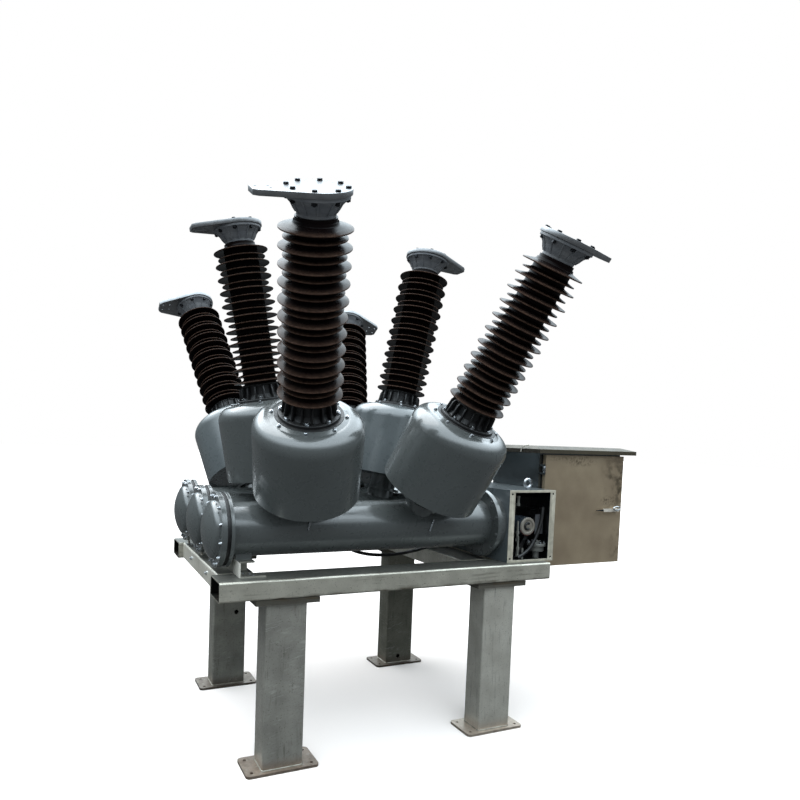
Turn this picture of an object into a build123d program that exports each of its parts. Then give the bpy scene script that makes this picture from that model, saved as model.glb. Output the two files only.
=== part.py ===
from build123d import *
import os
from math import cos, pi, radians, sin, sqrt, tan

# Three-phase dead-tank gas insulated breaker on a galvanised steel frame.
# Millimetres. X runs along the tanks, Y from the front phase to the rear one, Z up from the ground.
# While it is built, x = 0 is the left end of the beams and y = 0 the middle phase. At the end the
# whole model slides along X, so that the origin is the middle of its ground rectangle.

# ---- Frame ----
beam_length = 2000.0
frame_width = 1325.0          # over the outer faces of the two beam webs
beam_height = 100.0
beam_flange = 190.0
frame_plate = 8.0
bend_radius = 12.0
frame_top = 985.0             # top of the beams above the ground
cross_member_x = (28.0, 1492.0, 1782.0)   # left edges of the three cross members

# ---- Legs ----
leg_x = (241.0, 1547.0)       # left faces of the posts
leg_width = 216.0             # along X
leg_depth = 146.0             # along Y
leg_wall = 6.0
leg_inset = 22.0              # outer face of a post behind the beam web
leg_corner_radius = 10.0
base_plate_length = 385.0
base_plate_width = 196.0
base_plate_thickness = 14.0
base_hole_spacing_x = 318.0
base_hole_spacing_y = 132.0
base_hole_radius = 9.0
base_corner_radius = 22.0
cap_plate_length = 336.0
cap_plate_width = 186.0
cap_plate_thickness = 16.0
bearing_plate_thickness = 12.0
vent_radius = 15.0

# ---- Tanks ----
phase_spacing = 416.0
tank_axis_height = 218.0      # above the beams
tank_radius = 141.0
tank_left = 69.0              # gasket face of the left flange
tank_right = 1638.0           # left face of the right flange
left_flange_radius = 191.0
left_flange_thickness = 17.0
right_flange_radius = 204.0
right_flange_thickness = 28.0
right_collar_radius = 176.0
cover_flange_thickness = 27.0
gasket_gap = 20.0
gasket_radius = 158.0
dome_radius = 150.0
dome_depth = 62.0
dome_knuckle = 30.0           # small radius at the dome's foot

# ---- Tank saddle ----
saddle_x = (115.0, 205.0)
saddle_height = 72.0
saddle_half_length = 592.0
saddle_plate = 8.0
saddle_chamfer = 48.0
saddle_foot_reach = 45.0      # of the feet on the beams, past the top flange
saddle_foot_length = 70.0
saddle_rib_reach = 85.0       # of the upright plates under the tanks, from the web's left face
tank_foot_half_width = 78.0
tank_foot_inset = 4.0
tank_foot_top = 0.7           # of the tank's radius below its axis

# ---- Bushings: distances run from the tank axis along the bushing axis ----
outer_phase_tilt = 29.8       # front and rear tanks, turned about their own axis
bushing_lean = 10.6           # away from the middle of the tank
neck_half_spacing = 320.0
neck_centre_x = 837.5
neck_radius = 84.0
neck_flange_radius = 112.0
neck_flange_height = (165.0, 181.0)
housing_radius = 275.0
housing_wall = 6.0
housing_bottom = 260.0
housing_floor = 284.0         # underside of the recessed bottom plate
housing_floor_clearance = 2.0   # round the neck
housing_shoulder_radius = 82.0
housing_crown = 688.0
housing_ring_height = 695.0
housing_ring_radius = 170.0
base_casting_ring_radius = 150.0
base_casting_ring_thickness = 16.0
base_casting_body_radius = 134.0
base_casting_neck_radius = 106.0
base_casting_top = 797.0
base_casting_ribs = 16
base_casting_rib_thickness = 9.0
porcelain_core_radius = 94.0
porcelain_neck_radius = 87.0
porcelain_neck_cone = 12.0      # from the core down to the neck, above the top shed
large_shed_radius = 153.5
small_shed_radius = 134.0
shed_pitch = 73.4
first_shed = 807.5
large_sheds = 11
shed_rim = 5.0
shed_underside_slope = 0.06   # rise of a shed's faces from its rim to the core, over its reach
shed_top_slope = 0.24
porcelain_top = 1588.0
top_joint = 0.3               # cement joint under the top casting
top_casting_neck_radius = 80.0
top_casting_flange_radius = 133.0
top_casting_flange_thickness = 14.0
top_casting_bell = [(91.0, 57.0), (100.0, 40.0), (122.0, 17.0)]   # radius, distance below the top
top_casting_neck_bottom = 73.0   # below the top: the bell starts here
top_casting_top = 1674.0
top_casting_ribs = 12
top_casting_rib_thickness = 8.0
top_casting_rib_depth = 5.0
terminal_plate_radius = 140.0
terminal_plate_thickness = 22.0
terminal_reach = 262.0        # bushing axis to the tip of the pad
terminal_tip_width = 112.0
terminal_tip_chamfer = 18.0
terminal_hole_spacing = 50.0
terminal_hole_radius = 7.0
terminal_hole_centre = 214.0
terminal_tangent_angle = 66.0 # where the pad's straight sides leave the round plate

# ---- Mechanism box ----
box_x = (1720.0, 2063.0)
box_half_length = 608.0
box_height = 429.0
box_wall = 5.0
box_edge_frame = 40.0
box_mouth_edge = 14.0         # above and below the mouth
box_edge_hole_radius = 6.0
box_edge_hole_inset = 19.0
box_edge_hole_lift = 4.0
carrier_plate_y = -400.0
carrier_plate_thickness = 12.0
carrier_plate_gap = 60.0      # below the top of the box
motor_centre = (1898.0, 207.0)   # x, and height above the beams
motor_front = -560.0
motor_radius = 56.0
motor_length = 110.0
gearcase_half_width = 46.0
arm_front = -512.0
arm_thickness = 14.0
arm_width = 26.0
arm_top = (2040.0, 302.0)        # x, and height above the beams
arm_bottom = (1870.0, 26.0)
arm_pin_radius = 10.0
arm_pin_proud = 6.0
valve_centre = (2008.0, -478.0)
valve_radius = 42.0
valve_heights = (22.0, 108.0)
valve_flange = (6.0, 12.0)       # proud of the body, thickness
valve_arm_half_width = 26.0
valve_arm_inset = 20.0           # below and above, from the ends of the body
eye_ring_radius = 24.0
eye_wire_radius = 7.5
eye_collar_radius = 15.0
eye_collar_height = 9.0
eye_ring_sink = 2.0           # of the ring into the collar
eye_x = 1888.0
eye_y = 560.0

# ---- Control cabinet ----
cabinet_x = (2069.0, 2757.0)
cabinet_front = -446.0
cabinet_depth = 452.0
cabinet_bottom = -71.0        # below the top of the beams
cabinet_top = 668.0
cabinet_wall = 4.0
cabinet_mouth_edge = 34.0     # turned-in edge round the mouth
door_x = (2092.0, 2753.0)
door_bottom = -66.0
door_top = 640.0
door_thickness = 26.0
door_sheet = 3.0
door_gap = 8.0
hinge_pin = (2078.0, -483.0)
hinge_pin_radius = 4.0
hinge_knuckle_radius = 8.0
hinge_heights = (60.0, 548.0)
hinge_knuckle_height = 34.0
hinge_knuckle_play = 1.0
hinge_leaf_height = 14.0
hinge_leaf_half_width = 5.0
hinge_door_leaf = 6.0
hinge_clearance = 0.6
mount_inset = 20.0            # of the spacer plate, from the cabinet's and the box's edges
roof_front_overhang = 62.0
roof_left_overhang = 55.0
roof_right_overhang = 77.0
roof_rear_overhang = 20.0
roof_lip = 6.0
roof_skirt = 19.0             # of the lip below the top of the cabinet
roof_sheet = 3.0
roof_rise = 20.0
roof_left_run = 26.0
roof_right_run = 88.0
roof_depth_run = 55.0
handle_centre = (2694.0, 286.0)  # x, and height above the beams
handle_length = 128.0
handle_width = 20.0
handle_thickness = 10.0
handle_tip_radius = 9.0
handle_hub_radius = 13.0
handle_hub_length = 26.0
handle_play = 0.5             # between the hub and its seat
handle_seat_radius = 17.0
handle_seat_height = 6.0

# ---- Control cable ----
cable_radius = 10.0
gland_wall = 5.0
gland_nut_wall = 9.0
gland_nut_length = 12.0
arc_share = 0.45              # of the shorter run at a corner, taken up by its arc
cable_points = [
    (1690.0, -208.0, 78.0),
    (1560.0, -214.0, 70.0),
    (1425.0, -240.0, 50.0),
    (1280.0, -275.0, 28.0),
    (1120.0, -300.0, 17.0),
    (965.0, -300.0, 24.0),
    (850.0, -278.0, 56.0),
    (768.0, -243.0, 120.0),
    (715.0, -216.0, 212.0),
    (679.0, -222.0, 310.0),
    (623.6, -295.4, 397.9),
    (600.2, -351.7, 472.0),
    (586.6, -387.9, 535.1),
]   # heights above the beams


def block(x_range, y_range, z_range):
    """A box between two corners, with heights above the ground."""
    size = [high - low for low, high in (x_range, y_range, z_range)]
    middle = [(high + low) / 2 for low, high in (x_range, y_range, z_range)]
    return Pos(*middle) * Box(*size)


def above_beams(low, high):
    return (frame_top + low, frame_top + high)


def rod(start, direction, radius, length):
    """A cylinder from a start point along a direction."""
    return extrude(Plane(origin=start, z_dir=direction) * Circle(radius), length)


def turned(outline):
    """Turn an outline of (radius, height) points about the Z axis."""
    return revolve(Plane.XZ * make_face(Polyline(outline, close=True)), Axis.Z)


# ---- Frame ----

def channel(length):
    """A folded channel: web on the YZ plane, opening towards +X, running along Z."""
    outer = Pos(beam_flange / 2, 0) * Rectangle(beam_flange, beam_height)
    outer = fillet(outer.vertices().sort_by(Axis.X)[:2], bend_radius)
    inner = Pos(beam_flange / 2 + frame_plate, 0) * Rectangle(beam_flange, beam_height - 2 * frame_plate)
    inner = fillet(inner.vertices().sort_by(Axis.X)[:2], bend_radius - frame_plate)
    return extrude(outer - inner, length)


def box_section(width, height, wall, corner_radius):
    """The section of a hollow bar, centred on its axis."""
    outer = Rectangle(width, height)
    outer = fillet(outer.vertices(), corner_radius)
    return outer - Rectangle(width - 2 * wall, height - 2 * wall)


def beam(side):
    """side is -1 for the front beam and 1 for the rear one."""
    middle = (0, side * (frame_width - beam_flange) / 2, frame_top - beam_height / 2)
    plane = Plane(origin=middle, x_dir=(0, -side, 0), z_dir=(1, 0, 0))
    body = extrude(plane * box_section(beam_flange, beam_height, frame_plate, bend_radius), beam_length)
    for left in leg_x:
        centre_x = left + leg_width / 2
        body += bearing_plate(centre_x, side)
    return body


def leg_centre_y(side):
    return side * (frame_width / 2 - leg_inset - leg_depth / 2)


def bearing_plate(centre_x, side):
    low = frame_top - beam_height - bearing_plate_thickness
    plate = Pos(centre_x, leg_centre_y(side), low) * extrude(
        Rectangle(cap_plate_length, cap_plate_width), bearing_plate_thickness)
    return plate


def cross_member(left):
    half_length = frame_width / 2 - beam_flange
    plane = Plane(origin=(left, -half_length, frame_top - beam_height / 2), x_dir=(1, 0, 0), z_dir=(0, 1, 0))
    return plane * channel(2 * half_length)


def leg(left, side, vent_at=None):
    """A hollow post with its base plate and cap plate. vent_at is (from the left face, height)."""
    centre_x = left + leg_width / 2
    centre_y = leg_centre_y(side)
    post_top = frame_top - beam_height - bearing_plate_thickness - cap_plate_thickness
    post_height = post_top - base_plate_thickness
    section = box_section(leg_width, leg_depth, leg_wall, leg_corner_radius)
    post = Pos(0, 0, base_plate_thickness) * extrude(section, post_height)
    base = fillet(Rectangle(base_plate_length, base_plate_width).vertices(), base_corner_radius)
    for hole in GridLocations(base_hole_spacing_x, base_hole_spacing_y, 2, 2):
        base -= hole * Circle(base_hole_radius)
    cap = Pos(0, 0, post_top) * extrude(Rectangle(cap_plate_length, cap_plate_width), cap_plate_thickness)
    whole = post + extrude(base, base_plate_thickness) + cap
    if vent_at:
        start = (vent_at[0] - leg_width / 2, -leg_depth / 2 - 1, vent_at[1])
        whole -= rod(start, (0, 1, 0), vent_radius, leg_wall + 2)
    return Pos(centre_x, centre_y, 0) * whole


def tank_saddle():
    """An angle across the frame, its web cut back at the top corners, with feet and upright plates."""
    left, right = saddle_x
    web_x = (left, left + saddle_plate)
    y_range = (-saddle_half_length, saddle_half_length)
    saddle = block(web_x, y_range, above_beams(0, saddle_height))
    flange_end = saddle_half_length - saddle_chamfer
    flange_z = above_beams(saddle_height - saddle_plate, saddle_height)
    saddle += block(saddle_x, (-flange_end, flange_end), flange_z)
    for side in (-1, 1):
        corner = (left - 1, side * saddle_half_length, frame_top + saddle_height)
        diagonal = sqrt(2) * saddle_chamfer
        plane = Plane(origin=corner, x_dir=(0, 1, 0), z_dir=(1, 0, 0))
        saddle -= extrude(plane * Rectangle(diagonal, diagonal, rotation=45), saddle_plate + 2)
        foot_y = sorted((side * saddle_half_length, side * (saddle_half_length - saddle_foot_length)))
        saddle += block((left, right + saddle_foot_reach), foot_y, above_beams(0, saddle_plate))
    for phase in (-1, 0, 1):
        middle = phase * phase_spacing
        rib_y = (middle - saddle_plate / 2, middle + saddle_plate / 2)
        saddle += block((left, left + saddle_rib_reach), rib_y, above_beams(0, saddle_height))
    return saddle


# ---- Tanks and bushings ----

def pole_place(phase):
    """phase is -1, 0 or 1 for the front, middle and rear phase; the tank axis is the local X axis."""
    place = Pos(0, phase * phase_spacing, frame_top + tank_axis_height)
    return place * Rot(X=-phase * outer_phase_tilt)


def bushing_place(phase, side):
    """side is -1 for the left bushing and 1 for the right one; its axis is the local Z axis."""
    neck_x = neck_centre_x + side * neck_half_spacing
    return pole_place(phase) * Pos(neck_x, 0, 0) * Rot(Y=side * bushing_lean)


def along_tank(x, radius, length):
    return rod((x, 0, 0), (1, 0, 0), radius, length)


def tank(phase):
    shell = along_tank(tank_left, tank_radius, tank_right - tank_left)
    shell += along_tank(tank_left, left_flange_radius, left_flange_thickness)
    shell += along_tank(tank_right, right_flange_radius, right_flange_thickness)
    collar_x = tank_right + right_flange_thickness
    shell += along_tank(collar_x, right_collar_radius, box_x[0] - collar_x)
    shell = pole_place(phase) * shell
    for side in (-1, 1):
        neck = Cylinder(neck_radius, housing_ring_height, align=(Align.CENTER, Align.CENTER, Align.MIN))
        low, high = neck_flange_height
        flange = Pos(0, 0, low) * extrude(Circle(neck_flange_radius), high - low)
        shell += bushing_place(phase, side) * (neck + flange)
    foot_y = (phase * phase_spacing - tank_foot_half_width, phase * phase_spacing + tank_foot_half_width)
    foot_x = (saddle_x[0] + tank_foot_inset, saddle_x[1] - tank_foot_inset)
    foot_top = tank_axis_height - tank_foot_top * tank_radius
    shell += block(foot_x, foot_y, above_beams(saddle_height, foot_top))
    return shell


def tank_cover(phase):
    """A bolted cover: gasket ring, flange and dished dome, turned about the tank axis."""
    flange_back = gasket_gap + cover_flange_thickness
    knuckle_centre = dome_radius - dome_knuckle
    crown_radius = (dome_depth**2 + knuckle_centre**2 - dome_knuckle**2) / (2 * (dome_depth - dome_knuckle))
    to_knuckle = Vector(knuckle_centre, crown_radius - dome_depth)
    meeting = Vector(0, flange_back + dome_depth - crown_radius) + to_knuckle.normalized() * crown_radius
    apex = (0, flange_back + dome_depth)
    outline = [
        Polyline((0, 0), (gasket_radius, 0), (gasket_radius, gasket_gap), (left_flange_radius, gasket_gap),
                 (left_flange_radius, flange_back), (dome_radius, flange_back)),
        TangentArc((dome_radius, flange_back), meeting, tangent=(0, 1)),
        TangentArc(meeting, apex, tangent=(-to_knuckle.Y, to_knuckle.X)),
        Line(apex, (0, 0)),
    ]
    cover = revolve(Plane.XZ * make_face(outline), Axis.Z)
    return pole_place(phase) * Pos(tank_left, 0, 0) * Rot(Y=-90) * cover


def housing(phase, side):
    """The painted pot round the current transformers, open and recessed below."""
    shoulder = housing_shoulder_radius
    shoulder_base = housing_crown - shoulder
    wall = housing_wall
    bore = neck_radius + housing_floor_clearance
    outline = [
        Line((bore, housing_floor), (housing_radius - wall, housing_floor)),
        Line((housing_radius - wall, housing_floor), (housing_radius - wall, housing_bottom)),
        Line((housing_radius - wall, housing_bottom), (housing_radius, housing_bottom)),
        Line((housing_radius, housing_bottom), (housing_radius, shoulder_base)),
        RadiusArc((housing_radius, shoulder_base), (housing_radius - shoulder, housing_crown), -shoulder),
        Line((housing_radius - shoulder, housing_crown), (housing_ring_radius, housing_ring_height)),
        Line((housing_ring_radius, housing_ring_height), (bore, housing_ring_height)),
        Line((bore, housing_ring_height), (bore, housing_floor)),
    ]
    pot = revolve(Plane.XZ * make_face(outline), Axis.Z)
    return bushing_place(phase, side) * pot


def ribs(count, outline, thickness):
    """Plates round the Z axis with the given (radius, height) outline."""
    rib = extrude(Plane.XZ * make_face(Polyline(outline, close=True)), thickness / 2, both=True)
    return [Rot(Z=360 * (number + 0.5) / count) * rib for number in range(count)]


def base_casting(phase, side):
    low = housing_ring_height
    ring_top = low + base_casting_ring_thickness
    neck, high = base_casting_neck_radius, base_casting_top
    body = turned([
        (0, low), (base_casting_ring_radius, low), (base_casting_ring_radius, ring_top),
        (neck, ring_top), (neck, high), (0, high),
    ])
    outline = [
        (neck - 2, ring_top - 1), (base_casting_body_radius, ring_top - 1),
        (base_casting_body_radius - 6, high - 22), (neck - 2, high - 8),
    ]
    for rib in ribs(base_casting_ribs, outline, base_casting_rib_thickness):
        body += rib
    return bushing_place(phase, side) * body


def porcelain(phase, side):
    """Core with large and small sheds in turn; every shed slopes down to a thin rim."""
    outline = [(0, base_casting_top), (porcelain_core_radius, base_casting_top)]
    for number in range(2 * large_sheds - 1):
        rim_height = first_shed + number * shed_pitch / 2
        radius = large_shed_radius if number % 2 == 0 else small_shed_radius
        reach = radius - porcelain_core_radius
        outline += [
            (porcelain_core_radius, rim_height + shed_underside_slope * reach),
            (radius - 1, rim_height),
            (radius, rim_height + shed_rim / 2),
            (radius - 1, rim_height + shed_rim),
            (porcelain_core_radius, rim_height + shed_rim + shed_top_slope * reach),
        ]
    neck_height = outline[-1][1] + porcelain_neck_cone
    neck = porcelain_neck_radius
    outline += [(neck, neck_height), (neck, porcelain_top), (0, porcelain_top)]
    return bushing_place(phase, side) * turned(outline)


def top_casting(phase, side):
    """A bell from the neck up to the flange, with low ribs."""
    low, high = porcelain_top + top_joint, top_casting_top
    neck = top_casting_neck_radius
    flange_bottom = high - top_casting_flange_thickness
    bell = [(radius, high - down) for radius, down in top_casting_bell]
    bell.insert(0, (neck, high - top_casting_neck_bottom))
    body = turned([(0, low), (neck, low)] + bell + [
        (top_casting_flange_radius, flange_bottom), (top_casting_flange_radius, high), (0, high)])
    outer = [(radius + top_casting_rib_depth, height) for radius, height in bell]
    rib_top = flange_bottom + 1
    outline = [(neck - 2, bell[0][1])] + outer + [(outer[-1][0], rib_top), (neck - 2, rib_top)]
    for rib in ribs(top_casting_ribs, outline, top_casting_rib_thickness):
        body += rib
    return bushing_place(phase, side) * body


def terminal_plate(phase, side):
    """A round plate with a flat pad that points away from the middle of the tank."""
    half_tip = terminal_tip_width / 2
    chamfer = terminal_tip_chamfer
    tangent_angle = radians(terminal_tangent_angle)
    tangent = (terminal_plate_radius * cos(tangent_angle), terminal_plate_radius * sin(tangent_angle))
    pad = make_face(Polyline(
        (0, -terminal_plate_radius), (tangent[0], -tangent[1]), (terminal_reach - chamfer, -half_tip),
        (terminal_reach, -half_tip + chamfer), (terminal_reach, half_tip - chamfer),
        (terminal_reach - chamfer, half_tip), tangent, (0, terminal_plate_radius), close=True))
    plate = Circle(terminal_plate_radius) + pad
    for hole in GridLocations(terminal_hole_spacing, terminal_hole_spacing, 2, 2):
        plate -= Pos(terminal_hole_centre, 0) * hole * Circle(terminal_hole_radius)
    plate = Rot(Z=0 if side > 0 else 180) * extrude(plate, terminal_plate_thickness)
    return bushing_place(phase, side) * Pos(0, 0, top_casting_top) * plate


# ---- Mechanism box ----

def mechanism_box():
    """A folded box across the three tanks. Its front end is open, with an edge frame drilled for a cover."""
    y_range = (-box_half_length, box_half_length)
    shell = block(box_x, y_range, above_beams(0, box_height))
    inside_x = (box_x[0] + box_wall, box_x[1] - box_wall)
    inside_z = above_beams(box_wall, box_height - box_wall)
    shell -= block(inside_x, (-box_half_length + box_wall, box_half_length + 1), inside_z)
    frame = box_edge_frame
    mouth_x = (box_x[0] + frame, box_x[1] - frame)
    mouth_z = above_beams(box_mouth_edge, box_height - box_mouth_edge)
    shell -= block(mouth_x, (-box_half_length - 1, -box_half_length + box_wall + 1), mouth_z)
    inset = box_edge_hole_inset
    for x in (box_x[0] + inset, box_x[1] - inset):
        for z in (inset + box_edge_hole_lift, box_height - inset - box_edge_hole_lift):
            start = (x, -box_half_length - 1, frame_top + z)
            shell -= rod(start, (0, 1, 0), box_edge_hole_radius, box_wall + 2)
    return shell


def box_rear_cover():
    """The bolted cover on the rear end of the mechanism box."""
    low = box_half_length
    return block(box_x, (low, low + box_wall), above_beams(0, box_height))


def carrier_plate():
    """The upright plate inside the box that carries the charging motor."""
    inside_x = (box_x[0] + box_wall, box_x[1] - box_wall)
    y_range = (carrier_plate_y, carrier_plate_y + carrier_plate_thickness)
    return block(inside_x, y_range, above_beams(box_wall, box_height - carrier_plate_gap))


def charging_motor():
    """The round charging motor with its gear case, bolted to the carrier plate."""
    centre_x, centre_z = motor_centre
    start = (centre_x, motor_front, frame_top + centre_z)
    motor = rod(start, (0, 1, 0), motor_radius, motor_length)
    gear_y = (motor_front + motor_length, carrier_plate_y)
    half = gearcase_half_width
    motor += block((centre_x - half, centre_x + half), gear_y, above_beams(centre_z - half, centre_z + half))
    return motor


def drive_arm():
    """The slanted arm in front of the carrier plate, on a pin at each end."""
    top = Vector(arm_top[0], arm_front, frame_top + arm_top[1])
    bottom = Vector(arm_bottom[0], arm_front, frame_top + arm_bottom[1])
    span = bottom - top
    plane = Plane(origin=(top + bottom) * 0.5, x_dir=span, z_dir=(0, 1, 0))
    arm = extrude(plane * SlotCenterToCenter(span.length, arm_width), arm_thickness)
    for end in (top, bottom):
        pin_length = carrier_plate_y - arm_front + arm_pin_proud
        arm += rod(end - Vector(0, arm_pin_proud, 0), (0, 1, 0), arm_pin_radius, pin_length)
    return arm


def cast_valve():
    """The cast body low on the right of the carrier plate."""
    x, y = valve_centre
    low, high = valve_heights
    body = rod((x, y, frame_top + low), (0, 0, 1), valve_radius, high - low)
    proud, thickness = valve_flange
    body += rod((x, y, frame_top + high - thickness), (0, 0, 1), valve_radius + proud, thickness)
    half = valve_arm_half_width
    body += block((x - half, x + half), (y, carrier_plate_y),
                  above_beams(low + valve_arm_inset, high - valve_arm_inset))
    return body


def lifting_eyes():
    eyes = []
    for y in (-eye_y, eye_y):
        low = frame_top + box_height
        collar = rod((eye_x, y, low), (0, 0, 1), eye_collar_radius, eye_collar_height)
        centre = (eye_x, y, low + eye_collar_height - eye_ring_sink + eye_ring_radius + eye_wire_radius)
        ring = Pos(*centre) * Rot(X=90) * Torus(eye_ring_radius, eye_wire_radius)
        eyes.append(collar + ring)
    return Compound(children=eyes)


# ---- Control cabinet ----

def cabinet_body():
    """A folded cabinet, open to the front behind its door, with a turned-in edge round the mouth."""
    y_range = (cabinet_front, cabinet_front + cabinet_depth)
    z_range = above_beams(cabinet_bottom, cabinet_top)
    body = block(cabinet_x, y_range, z_range)
    wall = cabinet_wall
    inside_x = (cabinet_x[0] + wall, cabinet_x[1] - wall)
    inside_z = above_beams(cabinet_bottom + wall, cabinet_top - wall)
    body -= block(inside_x, (y_range[0] + wall, y_range[1] - wall), inside_z)
    edge = cabinet_mouth_edge
    mouth_x = (cabinet_x[0] + edge, cabinet_x[1] - edge)
    mouth_z = above_beams(cabinet_bottom + edge, cabinet_top - 2 * edge)
    body -= block(mouth_x, (y_range[0] - 1, y_range[0] + wall + 1), mouth_z)
    pin_x, pin_y = hinge_pin
    for height in hinge_heights:
        for end in (-1, 1):
            half_leaf = hinge_leaf_height / 2
            middle = height + end * (hinge_knuckle_height / 2 + hinge_knuckle_play + half_leaf)
            leaf_x = (pin_x - hinge_leaf_half_width, pin_x + hinge_leaf_half_width)
            leaf_z = above_beams(middle - half_leaf, middle + half_leaf)
            body += block(leaf_x, (pin_y, cabinet_front), leaf_z)
            body += rod((pin_x, pin_y, leaf_z[0]), (0, 0, 1), hinge_knuckle_radius, hinge_leaf_height)
        pin_length = hinge_knuckle_height + 2 * hinge_leaf_height
        low = frame_top + height - pin_length / 2
        body += rod((pin_x, pin_y, low), (0, 0, 1), hinge_pin_radius, pin_length)
    return body


def cabinet_mount():
    """The spacer plate between the mechanism box and the cabinet."""
    y_range = (cabinet_front + mount_inset, cabinet_front + cabinet_depth - mount_inset)
    return block((box_x[1], cabinet_x[0]), y_range, above_beams(mount_inset, box_height - mount_inset))


def cabinet_roof():
    """A shallow tray roof: upright lip with a skirt below it, sloping sides and a flat top."""
    lip_x = (cabinet_x[0] - roof_left_overhang, cabinet_x[1] + roof_right_overhang)
    lip_y = (cabinet_front - roof_front_overhang, cabinet_front + cabinet_depth + roof_rear_overhang)
    width = lip_x[1] - lip_x[0]
    depth = lip_y[1] - lip_y[0]
    low = frame_top + cabinet_top
    foot = Pos((lip_x[0] + lip_x[1]) / 2, (lip_y[0] + lip_y[1]) / 2, low)
    roof = foot * extrude(Rectangle(width, depth), roof_lip)
    skirt = Rectangle(width, depth) - Rectangle(width - 2 * roof_sheet, depth - 2 * roof_sheet)
    roof += foot * Pos(0, 0, -roof_skirt) * extrude(skirt, roof_skirt)
    lower = foot * Pos(0, 0, roof_lip) * Rectangle(width, depth)
    top = Rectangle(width - roof_left_run - roof_right_run, depth - 2 * roof_depth_run)
    upper = foot * Pos((roof_left_run - roof_right_run) / 2, 0, roof_lip + roof_rise) * top
    return roof + loft([lower, upper])


def cabinet_door():
    """A folded door with its hinge knuckles and the seat of the handle."""
    front = cabinet_front - door_gap - door_thickness
    door = block(door_x, (front, front + door_thickness), above_beams(door_bottom, door_top))
    sheet = door_sheet
    door -= block((door_x[0] + sheet, door_x[1] - sheet), (front + sheet, front + door_thickness + 1),
                  above_beams(door_bottom + sheet, door_top - sheet))
    pin_x, pin_y = hinge_pin
    half_knuckle = hinge_knuckle_height / 2 - hinge_knuckle_play
    half_leaf = hinge_door_leaf / 2
    for height in hinge_heights:
        knuckle_z = above_beams(height - half_knuckle, height + half_knuckle)
        knuckle = rod((pin_x, pin_y, knuckle_z[0]), (0, 0, 1), hinge_knuckle_radius, 2 * half_knuckle)
        knuckle += block((pin_x, door_x[0] + sheet), (pin_y - half_leaf, pin_y + half_leaf), knuckle_z)
        knuckle -= rod((pin_x, pin_y, knuckle_z[0] - 1), (0, 0, 1),
                       hinge_pin_radius + hinge_clearance, hinge_knuckle_height)
        door += knuckle
    centre_x, centre_z = handle_centre
    door += rod((centre_x, front, frame_top + centre_z), (0, -1, 0), handle_seat_radius, handle_seat_height)
    return door


def door_handle():
    """The lever: a hub on its seat and a flat arm that points to the hinge side."""
    centre_x, centre_z = handle_centre
    hub_back = cabinet_front - door_gap - door_thickness - handle_seat_height - handle_play
    hub_front = hub_back - handle_hub_length
    hub = rod((centre_x, hub_back, frame_top + centre_z), (0, -1, 0), handle_hub_radius, handle_hub_length)
    arm_z = above_beams(centre_z - handle_width / 2, centre_z + handle_width / 2)
    arm = block((centre_x - handle_length, centre_x), (hub_front, hub_front + handle_thickness), arm_z)
    arm = fillet(arm.edges().filter_by(Axis.Y).sort_by(Axis.X)[:2], handle_tip_radius)
    return hub + arm


# ---- Control cable ----

def tangent_radii(points):
    """The widest arc at each corner that leaves room for its neighbours on the shorter run."""
    radii = []
    for before, corner, after in zip(points, points[1:], points[2:]):
        run_in = corner - before
        run_out = after - corner
        half_turn = radians(run_in.get_angle(run_out)) / 2
        radii.append(arc_share * min(run_in.length, run_out.length) / tan(half_turn))
    return radii


def control_cable():
    points = [Vector(x, y, frame_top + z) for x, y, z in cable_points]
    radii = tangent_radii(points)
    path = FilletPolyline(*points, radius=radii)
    section = Plane(origin=points[0], z_dir=points[1] - points[0]) * Circle(cable_radius)
    tube = sweep(section, path=path)
    expected = pi * cable_radius ** 2 * path.length
    print("cable arc radii:", [round(radius) for radius in radii])
    print("cable length:", round(path.length), "volume over section times length:", tube.volume / expected)
    return tube


def gland(start, direction, length):
    """A tube round the cable, with a nut where it meets the wall."""
    direction = Vector(direction)
    tube = rod(start, direction, cable_radius + gland_wall, length)
    nut_start = Vector(*start) + direction * (length - gland_nut_length)
    return tube + rod(nut_start, direction, cable_radius + gland_nut_wall, gland_nut_length)


def cable_glands():
    """Screwed glands where the cable leaves the mechanism box and the front left housing."""
    points = [Vector(x, y, frame_top + z) for x, y, z in cable_points]
    at_box = gland(points[0], (1, 0, 0), box_x[0] - points[0].X)
    axis = Vector(bushing_place(-1, -1).z_axis.direction)
    floor_centre = Vector((bushing_place(-1, -1) * Pos(0, 0, housing_floor)).position)
    at_housing = gland(points[-1], axis, (floor_centre - points[-1]).dot(axis))
    return Compound(children=[at_box, at_housing])


# ---- Assembly ----

phase_names = {-1: "front", 0: "middle", 1: "rear"}
side_names = {-1: "left", 1: "right"}
pieces_of_both_bushings = {
    "base_castings": base_casting, "porcelains": porcelain,
    "top_castings": top_casting, "terminal_plates": terminal_plate,
}
vent_positions = {(1, -1): (152.0, 500.0), (1, 1): (100.0, 62.0)}   # (side, leg): seen in the front faces


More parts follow.
